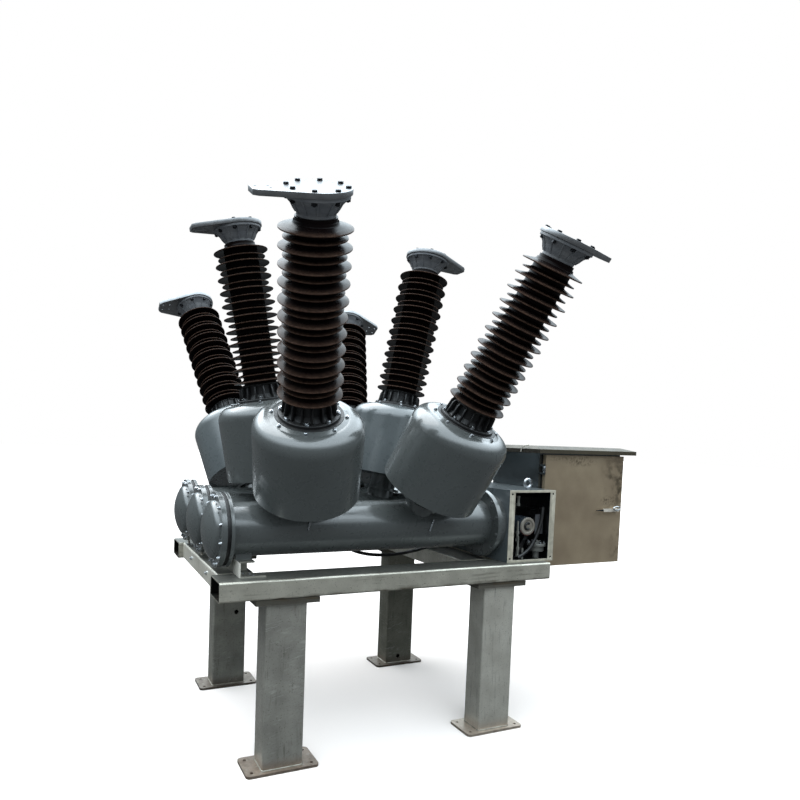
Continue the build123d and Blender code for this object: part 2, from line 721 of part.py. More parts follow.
def build():
    nodes = {"front_beam": beam(-1), "rear_beam": beam(1)}
    nodes["cross_members"] = Compound(children=[cross_member(left) for left in cross_member_x])
    for side, row in ((-1, "front"), (1, "rear")):
        for column, left in zip((-1, 1), leg_x):
            vent = vent_positions.get((side, column))
            nodes[f"{row}_{side_names[column]}_leg"] = leg(left, side, vent)
    nodes["tank_saddle"] = tank_saddle()
    for phase, name in phase_names.items():
        nodes[f"{name}_tank"] = tank(phase)
        nodes[f"{name}_tank_cover"] = tank_cover(phase)
        for side, side_name in side_names.items():
            nodes[f"{name}_{side_name}_housing"] = housing(phase, side)
        for piece_name, piece in pieces_of_both_bushings.items():
            nodes[f"{name}_{piece_name}"] = Compound(children=[piece(phase, side) for side in side_names])
    nodes["mechanism_box"] = mechanism_box()
    nodes["box_rear_cover"] = box_rear_cover()
    nodes["carrier_plate"] = carrier_plate()
    nodes["charging_motor"] = charging_motor()
    nodes["drive_arm"] = drive_arm()
    nodes["cast_valve"] = cast_valve()
    nodes["lifting_eyes"] = lifting_eyes()
    nodes["cabinet_body"] = cabinet_body()
    nodes["cabinet_mount"] = cabinet_mount()
    nodes["cabinet_roof"] = cabinet_roof()
    nodes["cabinet_door"] = cabinet_door()
    nodes["door_handle"] = door_handle()
    nodes["control_cable"] = control_cable()
    nodes["cable_glands"] = cable_glands()
    return nodes


def slide_to_origin(nodes):
    """Slide all nodes along X, so that x = 0 is the middle of the whole model."""
    boxes = [shape.bounding_box() for shape in nodes.values()]
    left = min(box.min.X for box in boxes)
    right = max(box.max.X for box in boxes)
    shift = -(left + right) / 2
    print("slid along X by", round(shift, 3))
    return {name: Pos(shift, 0, 0) * shape for name, shape in nodes.items()}


os.makedirs("parts", exist_ok=True)
for name, shape in slide_to_origin(build()).items():
    export_step(shape, f"parts/{name}.step")
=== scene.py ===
"""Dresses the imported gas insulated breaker: its finishes, fasteners, sheds, welds and control cable.

Everything stands in the part's own frame: X along the tanks, Y across the phases from front to rear,
Z up from the ground. Sizes are named in millimetres and become metres where a mesh is made.
"""
import logging
import math
from dataclasses import dataclass, replace
from enum import Enum
from typing import Any, Iterable, Optional, Sequence, Union

import bmesh
import bpy
from mathutils import Matrix, Vector


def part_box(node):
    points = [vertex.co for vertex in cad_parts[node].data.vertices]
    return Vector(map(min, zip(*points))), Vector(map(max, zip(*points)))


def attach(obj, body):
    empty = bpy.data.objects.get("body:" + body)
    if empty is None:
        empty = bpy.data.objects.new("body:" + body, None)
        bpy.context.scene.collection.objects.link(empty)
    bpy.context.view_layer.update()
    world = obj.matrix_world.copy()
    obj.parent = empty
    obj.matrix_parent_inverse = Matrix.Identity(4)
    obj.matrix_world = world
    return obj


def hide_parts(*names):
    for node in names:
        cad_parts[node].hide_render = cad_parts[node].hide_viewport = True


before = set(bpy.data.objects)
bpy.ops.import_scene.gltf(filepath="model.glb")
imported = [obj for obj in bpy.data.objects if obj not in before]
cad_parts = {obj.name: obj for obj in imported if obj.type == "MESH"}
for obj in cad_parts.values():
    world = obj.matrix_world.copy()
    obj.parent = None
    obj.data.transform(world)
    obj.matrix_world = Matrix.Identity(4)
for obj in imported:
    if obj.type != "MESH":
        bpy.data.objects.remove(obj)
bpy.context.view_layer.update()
LOG = logging.getLogger("breaker")
MM = 0.001
CAP_HEIGHT = 0.857        # where cap plates meet bearing plates, in metres above the ground
BEARING_TOP = 0.8855      # where the beams rest on the bearing plates, likewise
PHASE_SPACING = 416.0     # between neighbouring tanks, in millimetres
SPOT_CORE = 0.3           # share of a soft spot's reach that is full
EVEN = (1.0, 1.0, 1.0)    # marks drawn out along no axis

Point2 = tuple[float, float]
Point3 = tuple[float, float, float]
Corner = tuple[float, float, float]    # x, y and the radius that rounds it
Socket = bpy.types.NodeSocket
Tone = Union[str, Socket]              # a hex code or a colour socket


# ---- Small tools ----

def colour(code: str) -> tuple[float, float, float, float]:
    """Turns an sRGB hex colour into linear RGBA.

    Args:
        code: Six hex digits after a hash sign.

    Returns:
        The linear colour with alpha 1.
    """
    parts = [int(code[at:at + 2], 16) / 255 for at in (1, 3, 5)]
    linear = [part / 12.92 if part <= 0.04045 else ((part + 0.055) / 1.055) ** 2.4 for part in parts]
    return (linear[0], linear[1], linear[2], 1.0)


def add(tree: bpy.types.NodeTree, kind: str, inputs: Optional[dict] = None, **settings: Any) -> bpy.types.Node:
    """Adds one node: its settings first, then its inputs.

    Args:
        tree: The shader or geometry tree.
        kind: The node's type name.
        inputs: Socket name or number to a value, or to a socket that is linked in.
        settings: Attributes of the node.

    Returns:
        The new node.
    """
    node = tree.nodes.new(kind)
    for name, value in settings.items():
        setattr(node, name, value)
    for key, value in (inputs or {}).items():
        if isinstance(value, bpy.types.NodeSocket):
            tree.links.new(value, node.inputs[key])
        else:
            node.inputs[key].default_value = value
    return node


# ---- Finishes ----

@dataclass(frozen=True)
class Patches:
    """A pattern of soft patches.

    Its size is about how wide a patch is, in millimetres. Noise under low gives 0 and noise over high gives 1.
    A small stretch draws the patches out along that axis, turn is in degrees, and detail is octaves of noise.
    """

    size: float
    low: float = 0.3
    high: float = 0.7
    stretch: Point3 = (1.0, 1.0, 1.0)
    turn: Point3 = (0.0, 0.0, 0.0)
    detail: float = 4.0


class Surface:
    """What a finish is drawn on: one material's tree and shader, with the masks that finishes share."""

    def __init__(self, name: str) -> None:
        """Makes the material with its shader and output.

        Args:
            name: The material's name.
        """
        self.material = bpy.data.materials.new(name)
        self.material.use_nodes = True
        self.tree = self.material.node_tree
        self.tree.nodes.clear()
        self.shader = add(self.tree, "ShaderNodeBsdfPrincipled")
        add(self.tree, "ShaderNodeOutputMaterial", {"Surface": self.shader.outputs["BSDF"]})
        self.place = add(self.tree, "ShaderNodeTexCoord").outputs["Object"]

    def patches(self, pattern: Patches) -> Socket:
        """Makes the mask of a pattern.

        Args:
            pattern: The patches' size, levels and direction.

        Returns:
            The mask, from 0 to 1.
        """
        turn = tuple(math.radians(angle) for angle in pattern.turn)
        turned = add(self.tree, "ShaderNodeVectorRotate", {"Vector": self.place, "Rotation": turn},
                     rotation_type="EULER_XYZ")
        drawn = add(self.tree, "ShaderNodeMapping", {"Vector": turned.outputs[0], "Scale": pattern.stretch})
        noise = add(self.tree, "ShaderNodeTexNoise", {
            "Vector": drawn.outputs[0], "Scale": 1 / (pattern.size * MM), "Detail": pattern.detail})
        return self.ramp(noise.outputs[0], pattern.low, pattern.high)

    def ramp(self, value: Socket, none: float, full: float) -> Socket:
        """A value's rise from 0 at one end to 1 at the other."""
        return add(self.tree, "ShaderNodeMapRange", {
            "Value": value, "From Min": none, "From Max": full}).outputs[0]

    def facing_up(self, low: float, high: float) -> Socket:
        """A mask that grows as the surface turns upwards.

        Args:
            low: Height of the surface's normal at which the mask is 0.
            high: Height of the normal at which it is 1.

        Returns:
            The mask.
        """
        normal = add(self.tree, "ShaderNodeNewGeometry").outputs["Normal"]
        rise = add(self.tree, "ShaderNodeSeparateXYZ", {0: normal}).outputs["Z"]
        return self.ramp(rise, low, high)

    def band(self, none: float, full: float) -> Socket:
        """A mask that grows with height or depth.

        Args:
            none: Height above the ground, in metres, at which the mask is 0.
            full: Height at which it is 1.

        Returns:
            The mask.
        """
        height = add(self.tree, "ShaderNodeSeparateXYZ", {0: self.place}).outputs["Z"]
        return self.ramp(height, none, full)

    def share(self, centre: Vector, reach: Vector) -> Socket:
        """How far from a centre, along each axis, as a share of a reach.

        Args:
            centre: In metres in the part's frame.
            reach: Likewise.

        Returns:
            The three shares.
        """
        offset = add(self.tree, "ShaderNodeVectorMath", {0: self.place, 1: centre}, operation="SUBTRACT")
        scaled = add(self.tree, "ShaderNodeVectorMath", {0: offset.outputs[0], 1: reach}, operation="DIVIDE")
        return scaled.outputs[0]

    def spot(self, centre: Vector, reach: Vector) -> Socket:
        """A soft oval mask.

        Args:
            centre: Where the mask is 1, in metres in the part's frame.
            reach: How far along each axis it falls to 0.

        Returns:
            The mask.
        """
        away = add(self.tree, "ShaderNodeVectorMath", {0: self.share(centre, reach)}, operation="LENGTH")
        return self.ramp(away.outputs["Value"], 1.0, SPOT_CORE)

    def within(self, low: Point3, high: Point3) -> Socket:
        """A hard mask: 1 between two corners and 0 outside them.

        Args:
            low: The lower corner, in metres in the part's frame.
            high: The upper corner.

        Returns:
            The mask.
        """
        middle, half = (Vector(low) + Vector(high)) / 2, (Vector(high) - Vector(low)) / 2
        size = add(self.tree, "ShaderNodeVectorMath", {0: self.share(middle, half)}, operation="ABSOLUTE")
        along = add(self.tree, "ShaderNodeSeparateXYZ", {0: size.outputs[0]}).outputs
        widest = add(self.tree, "ShaderNodeMath", {0: along[0], 1: along[1]}, operation="MAXIMUM").outputs[0]
        widest = add(self.tree, "ShaderNodeMath", {0: widest, 1: along[2]}, operation="MAXIMUM").outputs[0]
        return add(self.tree, "ShaderNodeMath", {0: widest, 1: 1.0}, operation="LESS_THAN").outputs[0]

    def over(self, body: Tone, tone: Tone, share: float, *masks: Socket) -> Socket:
        """Lays one colour over another.

        Args:
            body: The colour below, as a hex code or a socket.
            tone: The colour on top, likewise.
            share: How much of it shows where every mask is 1.
            masks: Where it shows; they are multiplied.

        Returns:
            The mixed colour.
        """
        amount = masks[0]
        for factor in (*masks[1:], share):
            if factor != 1.0:
                both = add(self.tree, "ShaderNodeMath", {0: amount, 1: factor}, operation="MULTIPLY")
                amount = both.outputs[0]
        below, above = (colour(end) if isinstance(end, str) else end for end in (body, tone))
        return add(self.tree, "ShaderNodeMix", {0: amount, 6: below, 7: above}, data_type="RGBA").outputs[2]

    def close(self, body: Socket, sheen: Socket, rough: Point2, metallic: float = 0.0) -> None:
        """Gives the shader its colour and its gloss.

        Args:
            body: The colour.
            sheen: The mask that the roughness follows.
            rough: Roughness where that mask is 0 and where it is 1.
            metallic: How much of a metal it is.
        """
        self.tree.links.new(body, self.shader.inputs["Base Color"])
        spread = add(self.tree, "ShaderNodeMapRange", {"Value": sheen, "To Min": rough[0], "To Max": rough[1]})
        self.tree.links.new(spread.outputs[0], self.shader.inputs["Roughness"])
        self.shader.inputs["Metallic"].default_value = metallic

    def relief(self, *layers: tuple[Socket, float, float]) -> None:
        """Raises the surface.

        Args:
            layers: Each a height mask, its depth in millimetres and its strength.
        """
        inputs: dict[str, Any] = {}
        for height, depth, strength in layers:
            inputs.update({"Height": height, "Distance": depth * MM, "Strength": strength})
            inputs["Normal"] = add(self.tree, "ShaderNodeBump", inputs).outputs[0]
        self.tree.links.new(inputs["Normal"], self.shader.inputs["Normal"])


@dataclass(frozen=True)
class Finish:
    """A finish makes its material once; each kind says what it is in its own paint method.

    In every kind a share is how strongly a layer shows, a slope is the rise of the normal from bare to covered,
    and a relief is a depth in millimetres and a strength.
    """

    name: str

    def material(self) -> bpy.types.Material:
        """Makes the finish's material on first use.

        Returns:
            The material.
        """
        made = bpy.data.materials.get(self.name)
        if made is None:
            surface = Surface(self.name)
            self.paint(surface)
            made = surface.material
        return made

    def paint(self, on: Surface) -> None:
        """Draws the finish on a surface."""
        raise NotImplementedError


@dataclass(frozen=True)
class GlossEnamel(Finish):
    """Two-pack polyurethane enamel sprayed on steel shells.

    It gives a clear, slightly wavy gloss over an even colour, with a faint orange peel and a little dust on top.
    """

    base: str = "#525757"
    shade: str = "#4b5050"
    dust: str = "#7d8282"
    gloss: Point2 = (0.24, 0.36)
    wave: float = 0.3
    # Painted shade: inside the hollow the enamel is coloured near black, as shade inside a box would make it.
    hollow: Optional[tuple[Point3, Point3]] = None
    shade_lining: str = "#0e1011"
    tones: Patches = Patches(420, 0.35, 0.65)
    dust_fall: Patches = Patches(60, 0.45, 0.75)
    dust_slope: Point2 = (0.72, 1.0)
    dust_share: float = 0.35
    sheen: Patches = Patches(35)
    coat_weight: float = 0.9
    coat_rough: float = 0.15
    shell_wave: Patches = Patches(260, 0.2, 0.8, detail=1.0)
    shell_depth: float = 5.0
    peel: Patches = Patches(6, 0.2, 0.8, detail=1.0)
    peel_depth: float = 0.03
    peel_strength: float = 0.2

    def paint(self, on: Surface) -> None:
        """Draws enamel: a dielectric under a clear layer.

        Args:
            on: The surface.
        """
        body = on.over(self.base, self.shade, 1.0, on.patches(self.tones))
        body = on.over(body, self.dust, self.dust_share, on.facing_up(*self.dust_slope),
                       on.patches(self.dust_fall))
        # Painted shade: the inside of the hollow is coloured near black.
        if self.hollow:
            body = on.over(body, self.shade_lining, 1.0, on.within(*self.hollow))
        on.close(body, on.patches(self.sheen), self.gloss)
        on.shader.inputs["Coat Weight"].default_value = self.coat_weight
        on.shader.inputs["Coat Roughness"].default_value = self.coat_rough
        on.relief((on.patches(self.shell_wave), self.shell_depth, self.wave),
                  (on.patches(self.peel), self.peel_depth, self.peel_strength))


class Lay(Enum):
    """Which way the marks on a galvanised piece run."""

    ALONG_X = (0.05, 1.0, 1.0)
    ALONG_Y = (1.0, 0.05, 1.0)
    UPRIGHT = (1.0, 1.0, 0.07)


@dataclass(frozen=True)
class GalvanisedSteel(Finish):
    """Hot-dip galvanised steel.

    It gives a dull, mostly metallic zinc skin with spangle, drawn-out stains and rubbed lighter marks. Soil is
    for feet: a dirty foot, and painted shadow on the cap plate under the beam. Hollows are for beams: painted
    shade near black inside, painted shadow on the bearing plates and a scuffed lower edge. A top share paints
    shade on the faces that look up.
    """

    light: str = "#a3a49b"
    dark: str = "#85867d"
    stain: str = "#5f5e54"
    lay: Lay = Lay.ALONG_X
    spangle: float = 14.0
    scratched: float = 0.0
    soil: Optional[tuple[str, str]] = None
    metallic: float = 0.55
    rough: Point2 = (0.32, 0.48)
    hollows: tuple[tuple[Point3, Point3], ...] = ()
    top: float = 0.0
    clouds: Patches = Patches(130)
    streaks: Patches = Patches(16, 0.56, 0.72)
    streak_areas: Patches = Patches(90, 0.4, 0.6)
    specks: Patches = Patches(7, 0.66, 0.72, detail=1.0)
    rubbed: Patches = Patches(7, 0.57, 0.66, (0.16, 0.16, 1.0), (0, 14, 0), 3.0)
    rubbed_areas: Patches = Patches(150, 0.42, 0.62)
    rubbed_tone: str = "#c0c1ba"
    soil_tones: Patches = Patches(30, 0.35, 0.65)
    soil_edge: Patches = Patches(22, 0.05, 0.45)
    soil_heights: Point2 = (0.075, 0.012)
    top_slope: Point2 = (0.9, 0.99)
    # Painted shade: the colour that darkens faces that look up.
    painted_top_shade: str = "#3f4548"
    # Painted shade and shadow: the colours for inside the beams, their bearing plates and the legs' cap plates.
    inside_shade: str = "#12120f"
    bearing_plate_shadow: str = "#38352d"
    cap_plate_shadow: str = "#4a473e"
    plate_shadow_share: float = 0.85
    scuffs: Patches = Patches(26, 0.48, 0.62, (0.3, 1.0, 1.0))
    scuff_tone: str = "#5b5344"
    dents: Patches = Patches(40, 0.2, 0.8)
    cell_share: float = 0.28
    streak_share: float = 0.75
    speck_share: float = 0.55
    scuff_share: float = 0.8
    cell_relief: Point2 = (0.05, 0.25)
    dent_relief: Point2 = (0.6, 0.35)

    def soil_and_cap_shadow(self, on: Surface, body: Socket) -> Socket:
        """Adds the dirty foot and the painted shadow on the cap plate under the beam.

        Args:
            on: The surface.
            body: The colour so far.

        Returns:
            The colour with them.
        """
        soil = on.over(*self.soil, 1.0, on.patches(self.soil_tones))
        body = on.over(body, soil, 1.0, on.band(*self.soil_heights), on.patches(self.soil_edge))
        # Painted shadow: the leg's top, from the cap line up, is coloured dark where the beam's shadow falls.
        return on.over(body, self.cap_plate_shadow, self.plate_shadow_share, on.band(CAP_HEIGHT - 0.004, CAP_HEIGHT + 0.002))

    def shade_and_scuff(self, on: Surface, body: Socket) -> Socket:
        """Adds the painted shade inside, the painted shadow on the bearing plates and the scuffed lower edge.

        Args:
            on: The surface.
            body: The colour so far.

        Returns:
            The colour with them.
        """
        # Painted shade: the beams' open ends are coloured near black inside.
        for low, high in self.hollows:
            body = on.over(body, self.inside_shade, 1.0, on.within(low, high))
        height = add(on.tree, "ShaderNodeSeparateXYZ", {0: on.place}).outputs["Z"]
        # Painted shadow: the bearing plates under the beams are coloured dark.
        plates = add(on.tree, "ShaderNodeMath", {0: height, 1: BEARING_TOP}, operation="LESS_THAN").outputs[0]
        body = on.over(body, self.bearing_plate_shadow, self.plate_shadow_share, plates)
        edge = on.band(BEARING_TOP + 0.022, BEARING_TOP + 0.002)
        return on.over(body, self.scuff_tone, self.scuff_share, edge, on.patches(self.scuffs))

    def paint(self, on: Surface) -> None:
        """Draws zinc, dulled by its grey oxide.

        Args:
            on: The surface.
        """
        cells = add(on.tree, "ShaderNodeTexVoronoi", {"Vector": on.place, "Scale": 1 / (self.spangle * MM)})
        tone = add(on.tree, "ShaderNodeSeparateColor", {0: cells.outputs["Color"]}).outputs[0]
        body = on.over(self.light, self.dark, 1.0, on.patches(self.clouds))
        body = on.over(body, self.dark, self.cell_share, tone)
        streaks = on.patches(replace(self.streaks, stretch=self.lay.value))
        body = on.over(body, self.stain, self.streak_share, streaks, on.patches(self.streak_areas))
        body = on.over(body, self.stain, self.speck_share, on.patches(self.specks))
        if self.scratched:
            body = on.over(body, self.rubbed_tone, self.scratched, on.patches(self.rubbed),
                           on.patches(self.rubbed_areas))
        if self.soil:
            body = self.soil_and_cap_shadow(on, body)
        # Painted shade: faces that look up are coloured darker, for the shade and dark reflections they catch.
        if self.top:
            body = on.over(body, self.painted_top_shade, self.top, on.facing_up(*self.top_slope))
        if self.hollows:
            body = self.shade_and_scuff(on, body)
        on.close(body, tone, self.rough, self.metallic)
        on.relief((tone, *self.cell_relief), (on.patches(self.dents), *self.dent_relief))


@dataclass(frozen=True)
class BrownGlaze(Finish):
    """Fired brown glaze on porcelain.

    It gives a near black, glassy skin, lighter at the rims where the glaze runs thinner and where a painted
    highlight stands for the light that the rims catch, with dust on top.
    """

    body: str = "#0c090a"
    body_shade: str = "#150e0e"
    rim: str = "#4f3d33"
    dust: str = "#4b4844"
    tones: Patches = Patches(120)
    runs: Patches = Patches(18)
    run_share: Point2 = (0.35, 0.9)
    dust_fall: Patches = Patches(50, 0.35, 0.75)
    dust_slope: Point2 = (0.55, 0.95)
    dust_share: float = 0.14
    rough: Point2 = (0.26, 0.4)
    specular: float = 0.06
    flow: Patches = Patches(30, 0.2, 0.8, detail=2.0)
    flow_relief: Point2 = (0.25, 0.3)

    def paint(self, on: Surface) -> None:
        """Draws glaze: a dielectric over a dark body.

        Args:
            on: The surface.
        """
        # Painted highlight, partly: the lighter rim colour is the thinner glaze and also the light that the rims
        # catch.
        rim_glaze_and_highlight = add(on.tree, "ShaderNodeAttribute", attribute_name="rim").outputs["Fac"]
        runs = add(on.tree, "ShaderNodeMapRange", {
            "Value": on.patches(self.runs), "To Min": self.run_share[0], "To Max": self.run_share[1]}).outputs[0]
        body = on.over(self.body, self.body_shade, 1.0, on.patches(self.tones))
        body = on.over(body, self.rim, 1.0, rim_glaze_and_highlight, runs)
        settled = add(on.tree, "ShaderNodeMath", {
            0: on.facing_up(*self.dust_slope), 1: on.patches(self.dust_fall)}, operation="MULTIPLY").outputs[0]
        body = on.over(body, self.dust, self.dust_share, settled)
        on.close(body, settled, self.rough)
        on.shader.inputs["Specular IOR Level"].default_value = self.specular
        on.relief((on.patches(self.flow), *self.flow_relief))


@dataclass(frozen=True)
class CastMetal(Finish):
    """Sand-cast metal under thin dark paint.

    It gives a grainy satin skin with grime in its hollows.
    """

    base: str = "#3b3d3c"
    worn: str = "#5b5a55"
    metallic: float = 0.0
    rough: float = 0.5
    grime: str = "#77736b"
    wear: Patches = Patches(45, 0.42, 0.68)
    grime_fall: Patches = Patches(20, 0.35, 0.7)
    grime_slope: Point2 = (0.5, 1.0)
    grime_share: float = 0.4
    sheen: Patches = Patches(12)
    sheen_spread: float = 0.1
    sand: Patches = Patches(2.5, 0.2, 0.8, detail=2.0)
    sand_relief: Point2 = (0.25, 0.5)

    def paint(self, on: Surface) -> None:
        """Draws a painted casting with its sandy relief.

        Args:
            on: The surface.
        """
        body = on.over(self.base, self.worn, 1.0, on.patches(self.wear))
        body = on.over(body, self.grime, self.grime_share, on.facing_up(*self.grime_slope),
                       on.patches(self.grime_fall))
        rough = (self.rough - self.sheen_spread, self.rough + self.sheen_spread)
        on.close(body, on.patches(self.sheen), rough, self.metallic)
        on.relief((on.patches(self.sand), *self.sand_relief))


@dataclass(frozen=True)
class BareMetal(Finish):
    """Bare or plated metal at its default IOR.

    It gives a bright skin, finely marked by its rolling, turning or brushing; the marks are drawn 1.5 mm wide
    so that they show. A top share paints shade on the faces that look up.
    """

    base: str = "#c4c7ca"
    dull: str = "#a7aaac"
    rough: Point2 = (0.24, 0.38)
    marks: Point3 = (0.03, 1.0, 1.0)
    metallic: float = 1.0
    top: float = 0.0
    wear: Patches = Patches(40, 0.4, 0.7)
    lines: Patches = Patches(1.5, detail=2.0)
    line_share: float = 0.18
    top_slope: Point2 = (0.8, 0.94)
    # Painted shade: the colour that darkens faces that look up.
    painted_top_shade: str = "#34363a"
    sheen: Patches = Patches(55)
    line_relief: Point2 = (0.03, 0.3)

    def paint(self, on: Surface) -> None:
        """Draws metal and its marks.

        Args:
            on: The surface.
        """
        lines = on.patches(replace(self.lines, stretch=self.marks))
        body = on.over(self.base, self.dull, 1.0, on.patches(self.wear))
        body = on.over(body, self.dull, self.line_share, lines)
        # Painted shade: faces that look up are coloured darker than the metal is.
        if self.top:
            body = on.over(body, self.painted_top_shade, self.top, on.facing_up(*self.top_slope))
        on.close(body, on.patches(self.sheen), self.rough, self.metallic)
        on.relief((lines, *self.line_relief))


@dataclass(frozen=True)
class Stain:
    """One dark blotch on a sheet: its centre and reach as shares of the sheet's width and height. A mark not
    broken up by noise is an unbroken band of painted shade instead.
    """

    across: float
    up: float
    wide: float
    tall: float
    grain: float = 30.0
    depth: float = 0.8
    shade_strip: bool = False


@dataclass(frozen=True)
class StainlessSheet(Finish):
    """Brushed stainless sheet gone brown with handling.

    It gives a satin grain, drawn 1.2 mm wide so that it shows, under dark blotches and a dull film that leaves
    it half metallic.
    """

    node: str = "cabinet_door"
    base: str = "#b0a087"
    film: str = "#9b8b75"
    stain: str = "#5c5242"
    metallic: float = 0.5
    rough: Point2 = (0.34, 0.46)
    stains: tuple[Stain, ...] = ()
    tones: Patches = Patches(240, 0.35, 0.65)
    grain: Patches = Patches(1.2, stretch=(0.02, 0.02, 1.0), detail=2.0)
    grain_share: float = 0.14
    blotch: Patches = Patches(30, 0.46, 0.62)
    stain_reach: float = 2.0
    sheen: Patches = Patches(80)
    buckle: Patches = Patches(300, 0.2, 0.8, detail=1.0)
    grain_relief: Point2 = (0.02, 0.25)
    buckle_relief: Point2 = (2.0, 0.3)

    def paint(self, on: Surface) -> None:
        """Draws steel under its film and blotches.

        Args:
            on: The surface.
        """
        low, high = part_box(self.node)
        size = high - low
        grain = on.patches(self.grain)
        body = on.over(self.base, self.film, 1.0, on.patches(self.tones))
        body = on.over(body, self.film, self.grain_share, grain)
        for mark in self.stains:
            centre = Vector((low.x + mark.across * size.x, low.y, low.z + mark.up * size.z))
            masks = [on.spot(centre, Vector((mark.wide * size.x, self.stain_reach, mark.tall * size.z)))]
            if not mark.shade_strip:
                masks.append(on.patches(replace(self.blotch, size=mark.grain)))
            body = on.over(body, self.stain, mark.depth, *masks)
        on.close(body, on.patches(self.sheen), self.rough, self.metallic)
        on.relief((grain, *self.grain_relief), (on.patches(self.buckle), *self.buckle_relief))


@dataclass(frozen=True)
class Moulded(Finish):
    """Rubber or plastic.

    It gives an even dark body with a fine matt skin and light dust.
    """

    base: str = "#0d0d0e"
    rough: Point2 = (0.42, 0.6)
    dust: str = "#3b3a37"
    dust_fall: Patches = Patches(30, 0.45, 0.75)
    dust_share: float = 0.3
    sheen: Patches = Patches(10)
    skin: Patches = Patches(3, 0.2, 0.8)
    skin_relief: Point2 = (0.08, 0.4)

    def paint(self, on: Surface) -> None:
        """Draws a plain dielectric.

        Args:
            on: The surface.
        """
        body = on.over(self.base, self.dust, self.dust_share, on.patches(self.dust_fall))
        on.close(body, on.patches(self.sheen), self.rough)
        on.relief((on.patches(self.skin), *self.skin_relief))


# Slate enamel: the glossy shells; a painted lit copy, lighter, for the rear ones that catch the open sky.
TANK_ENAMEL = GlossEnamel("tank_enamel")
LIT_ENAMEL = GlossEnamel("lit_tank_enamel", "#5f6769", "#555d60")
# Darker, thinner enamels: the drive inside the box and its pale blue-grey sheet round it.
MECHANISM_BLACK = GlossEnamel("mechanism_black_enamel", "#0b0b0c", "#080809", "#232322", (0.28, 0.42), 0.1)
MOTOR_BLUE = GlossEnamel("motor_blue_enamel", "#3e4a56", "#343f4a", "#6e7472", (0.25, 0.35), 0.1)
RED_LACQUER = GlossEnamel("motor_red_lacquer", "#5e2a22", "#4a211b", "#6b5a55", (0.3, 0.4), 0.1)
BOX_ENAMEL = GlossEnamel("box_enamel", "#667074", "#5b6468", "#8e9492", (0.26, 0.38), 0.2)
# Beams and members: warm pale zinc with run marks and painted shade on their tops.
BEAM_ZINC = GalvanisedSteel("beam_zinc", "#cccabd", "#adab9f", "#6b675b", Lay.ALONG_X, 16.0, top=0.7)
MEMBER_ZINC = GalvanisedSteel("cross_member_zinc", "#eae8dd", "#cdcbbf", "#767368", Lay.UPRIGHT, 16.0, top=0.75)
# Legs: small spangle, rubbed lines, muddy feet and painted shadow under the cap; lit and shaded copies of
# the zinc paint the light and shade that fall on each leg.
LEG_ZINC = GalvanisedSteel("leg_zinc", "#acaba3", "#8f8e87", "#605f56", Lay.UPRIGHT, 9.0, 0.55,
                           ("#7b6d60", "#908275"), 0.5)
LIT_LEG_ZINC = GalvanisedSteel("lit_leg_zinc", "#d3d2c8", "#b9b7ad", "#7d7b71", Lay.UPRIGHT, 9.0, 0.5,
                                ("#9f9285", "#b3a698"), 0.5)
SHADED_SOIL = ("#5a5148", "#6b6157")
SHADED_LEG_ZINC = GalvanisedSteel("shaded_leg_zinc", "#a5a59b", "#878780", "#55544c", Lay.UPRIGHT, 9.0, 0.45,
                                  SHADED_SOIL, 0.62)
DEEP_SHADED_LEG_ZINC = GalvanisedSteel("deep_shaded_leg_zinc", "#8d8d81", "#75756a", "#4a4a41", Lay.UPRIGHT, 9.0, 0.4,
                                SHADED_SOIL, 0.62)
# Saddle: the same zinc, with painted shade on its top; a painted lit copy, brighter, goes on its end plate.
SADDLE_ZINC = GalvanisedSteel("saddle_zinc", "#b6b5ab", "#9d9c92", "#6d6a60", Lay.ALONG_Y, 10.0, 0.2, top=0.5)
LIT_PLATE_ZINC = replace(LIT_LEG_ZINC, name="lit_saddle_plate_zinc", light="#f2f1e9", dark="#dddbd0", soil=None,
                     metallic=0.15)
# Sheds: near black glass with brown rims, partly thinner glaze and partly a painted highlight.
GLAZE = BrownGlaze("brown_porcelain_glaze")
# Castings: sandy and satin, near black at the base and slate at the top.
CASTING = CastMetal("dark_painted_casting", "#111213", "#202021", grime="#383733")
TOP_CASTING = CastMetal("slate_painted_casting", "#666a6f", "#74777a", grime="#7b7a75")
SHIELD_CASTING = CastMetal("pale_end_shield_casting", "#8f8b82", "#757168", 0.2, 0.45)
VALVE_CASTING = CastMetal("grey_valve_casting", "#6a6c69", "#7f807b", 0.25, 0.4)
# Bare and plated metals: bright fasteners, dull pads with painted shade on the terminal plates' tops, and
# blackened bolts.
UNION_STEEL = BareMetal("dulled_union_steel", "#8c8e88", "#6f716c", (0.26, 0.4), EVEN, 0.25)
TERMINAL_ALUMINIUM = BareMetal("machined_terminal_aluminium", "#949698", "#838587", (0.32, 0.44),
                               (1.0, 0.03, 1.0), 0.75, 0.9)
ZINC_PLATE = BareMetal("zinc_plated_steel", "#c9cccf", "#9ea1a4", (0.2, 0.34))
BLACKENED_STEEL = BareMetal("blackened_bolt_steel", "#2a2c30", "#1f2023", (0.34, 0.46), EVEN, 0.75)
WELD_METAL = BareMetal("galvanised_weld_metal", "#9c9a90", "#77746a", (0.4, 0.55), EVEN, 0.7)
EDGE_STEEL = BareMetal("box_edge_zinc", "#d3cfbe", "#b6b2a2", (0.42, 0.55), (1.0, 0.03, 0.03), 0.35)
LEVER_ZINC = BareMetal("cast_lever_zinc", "#e4dfd4", "#c9c4b8", (0.3, 0.4), EVEN, 0.3)
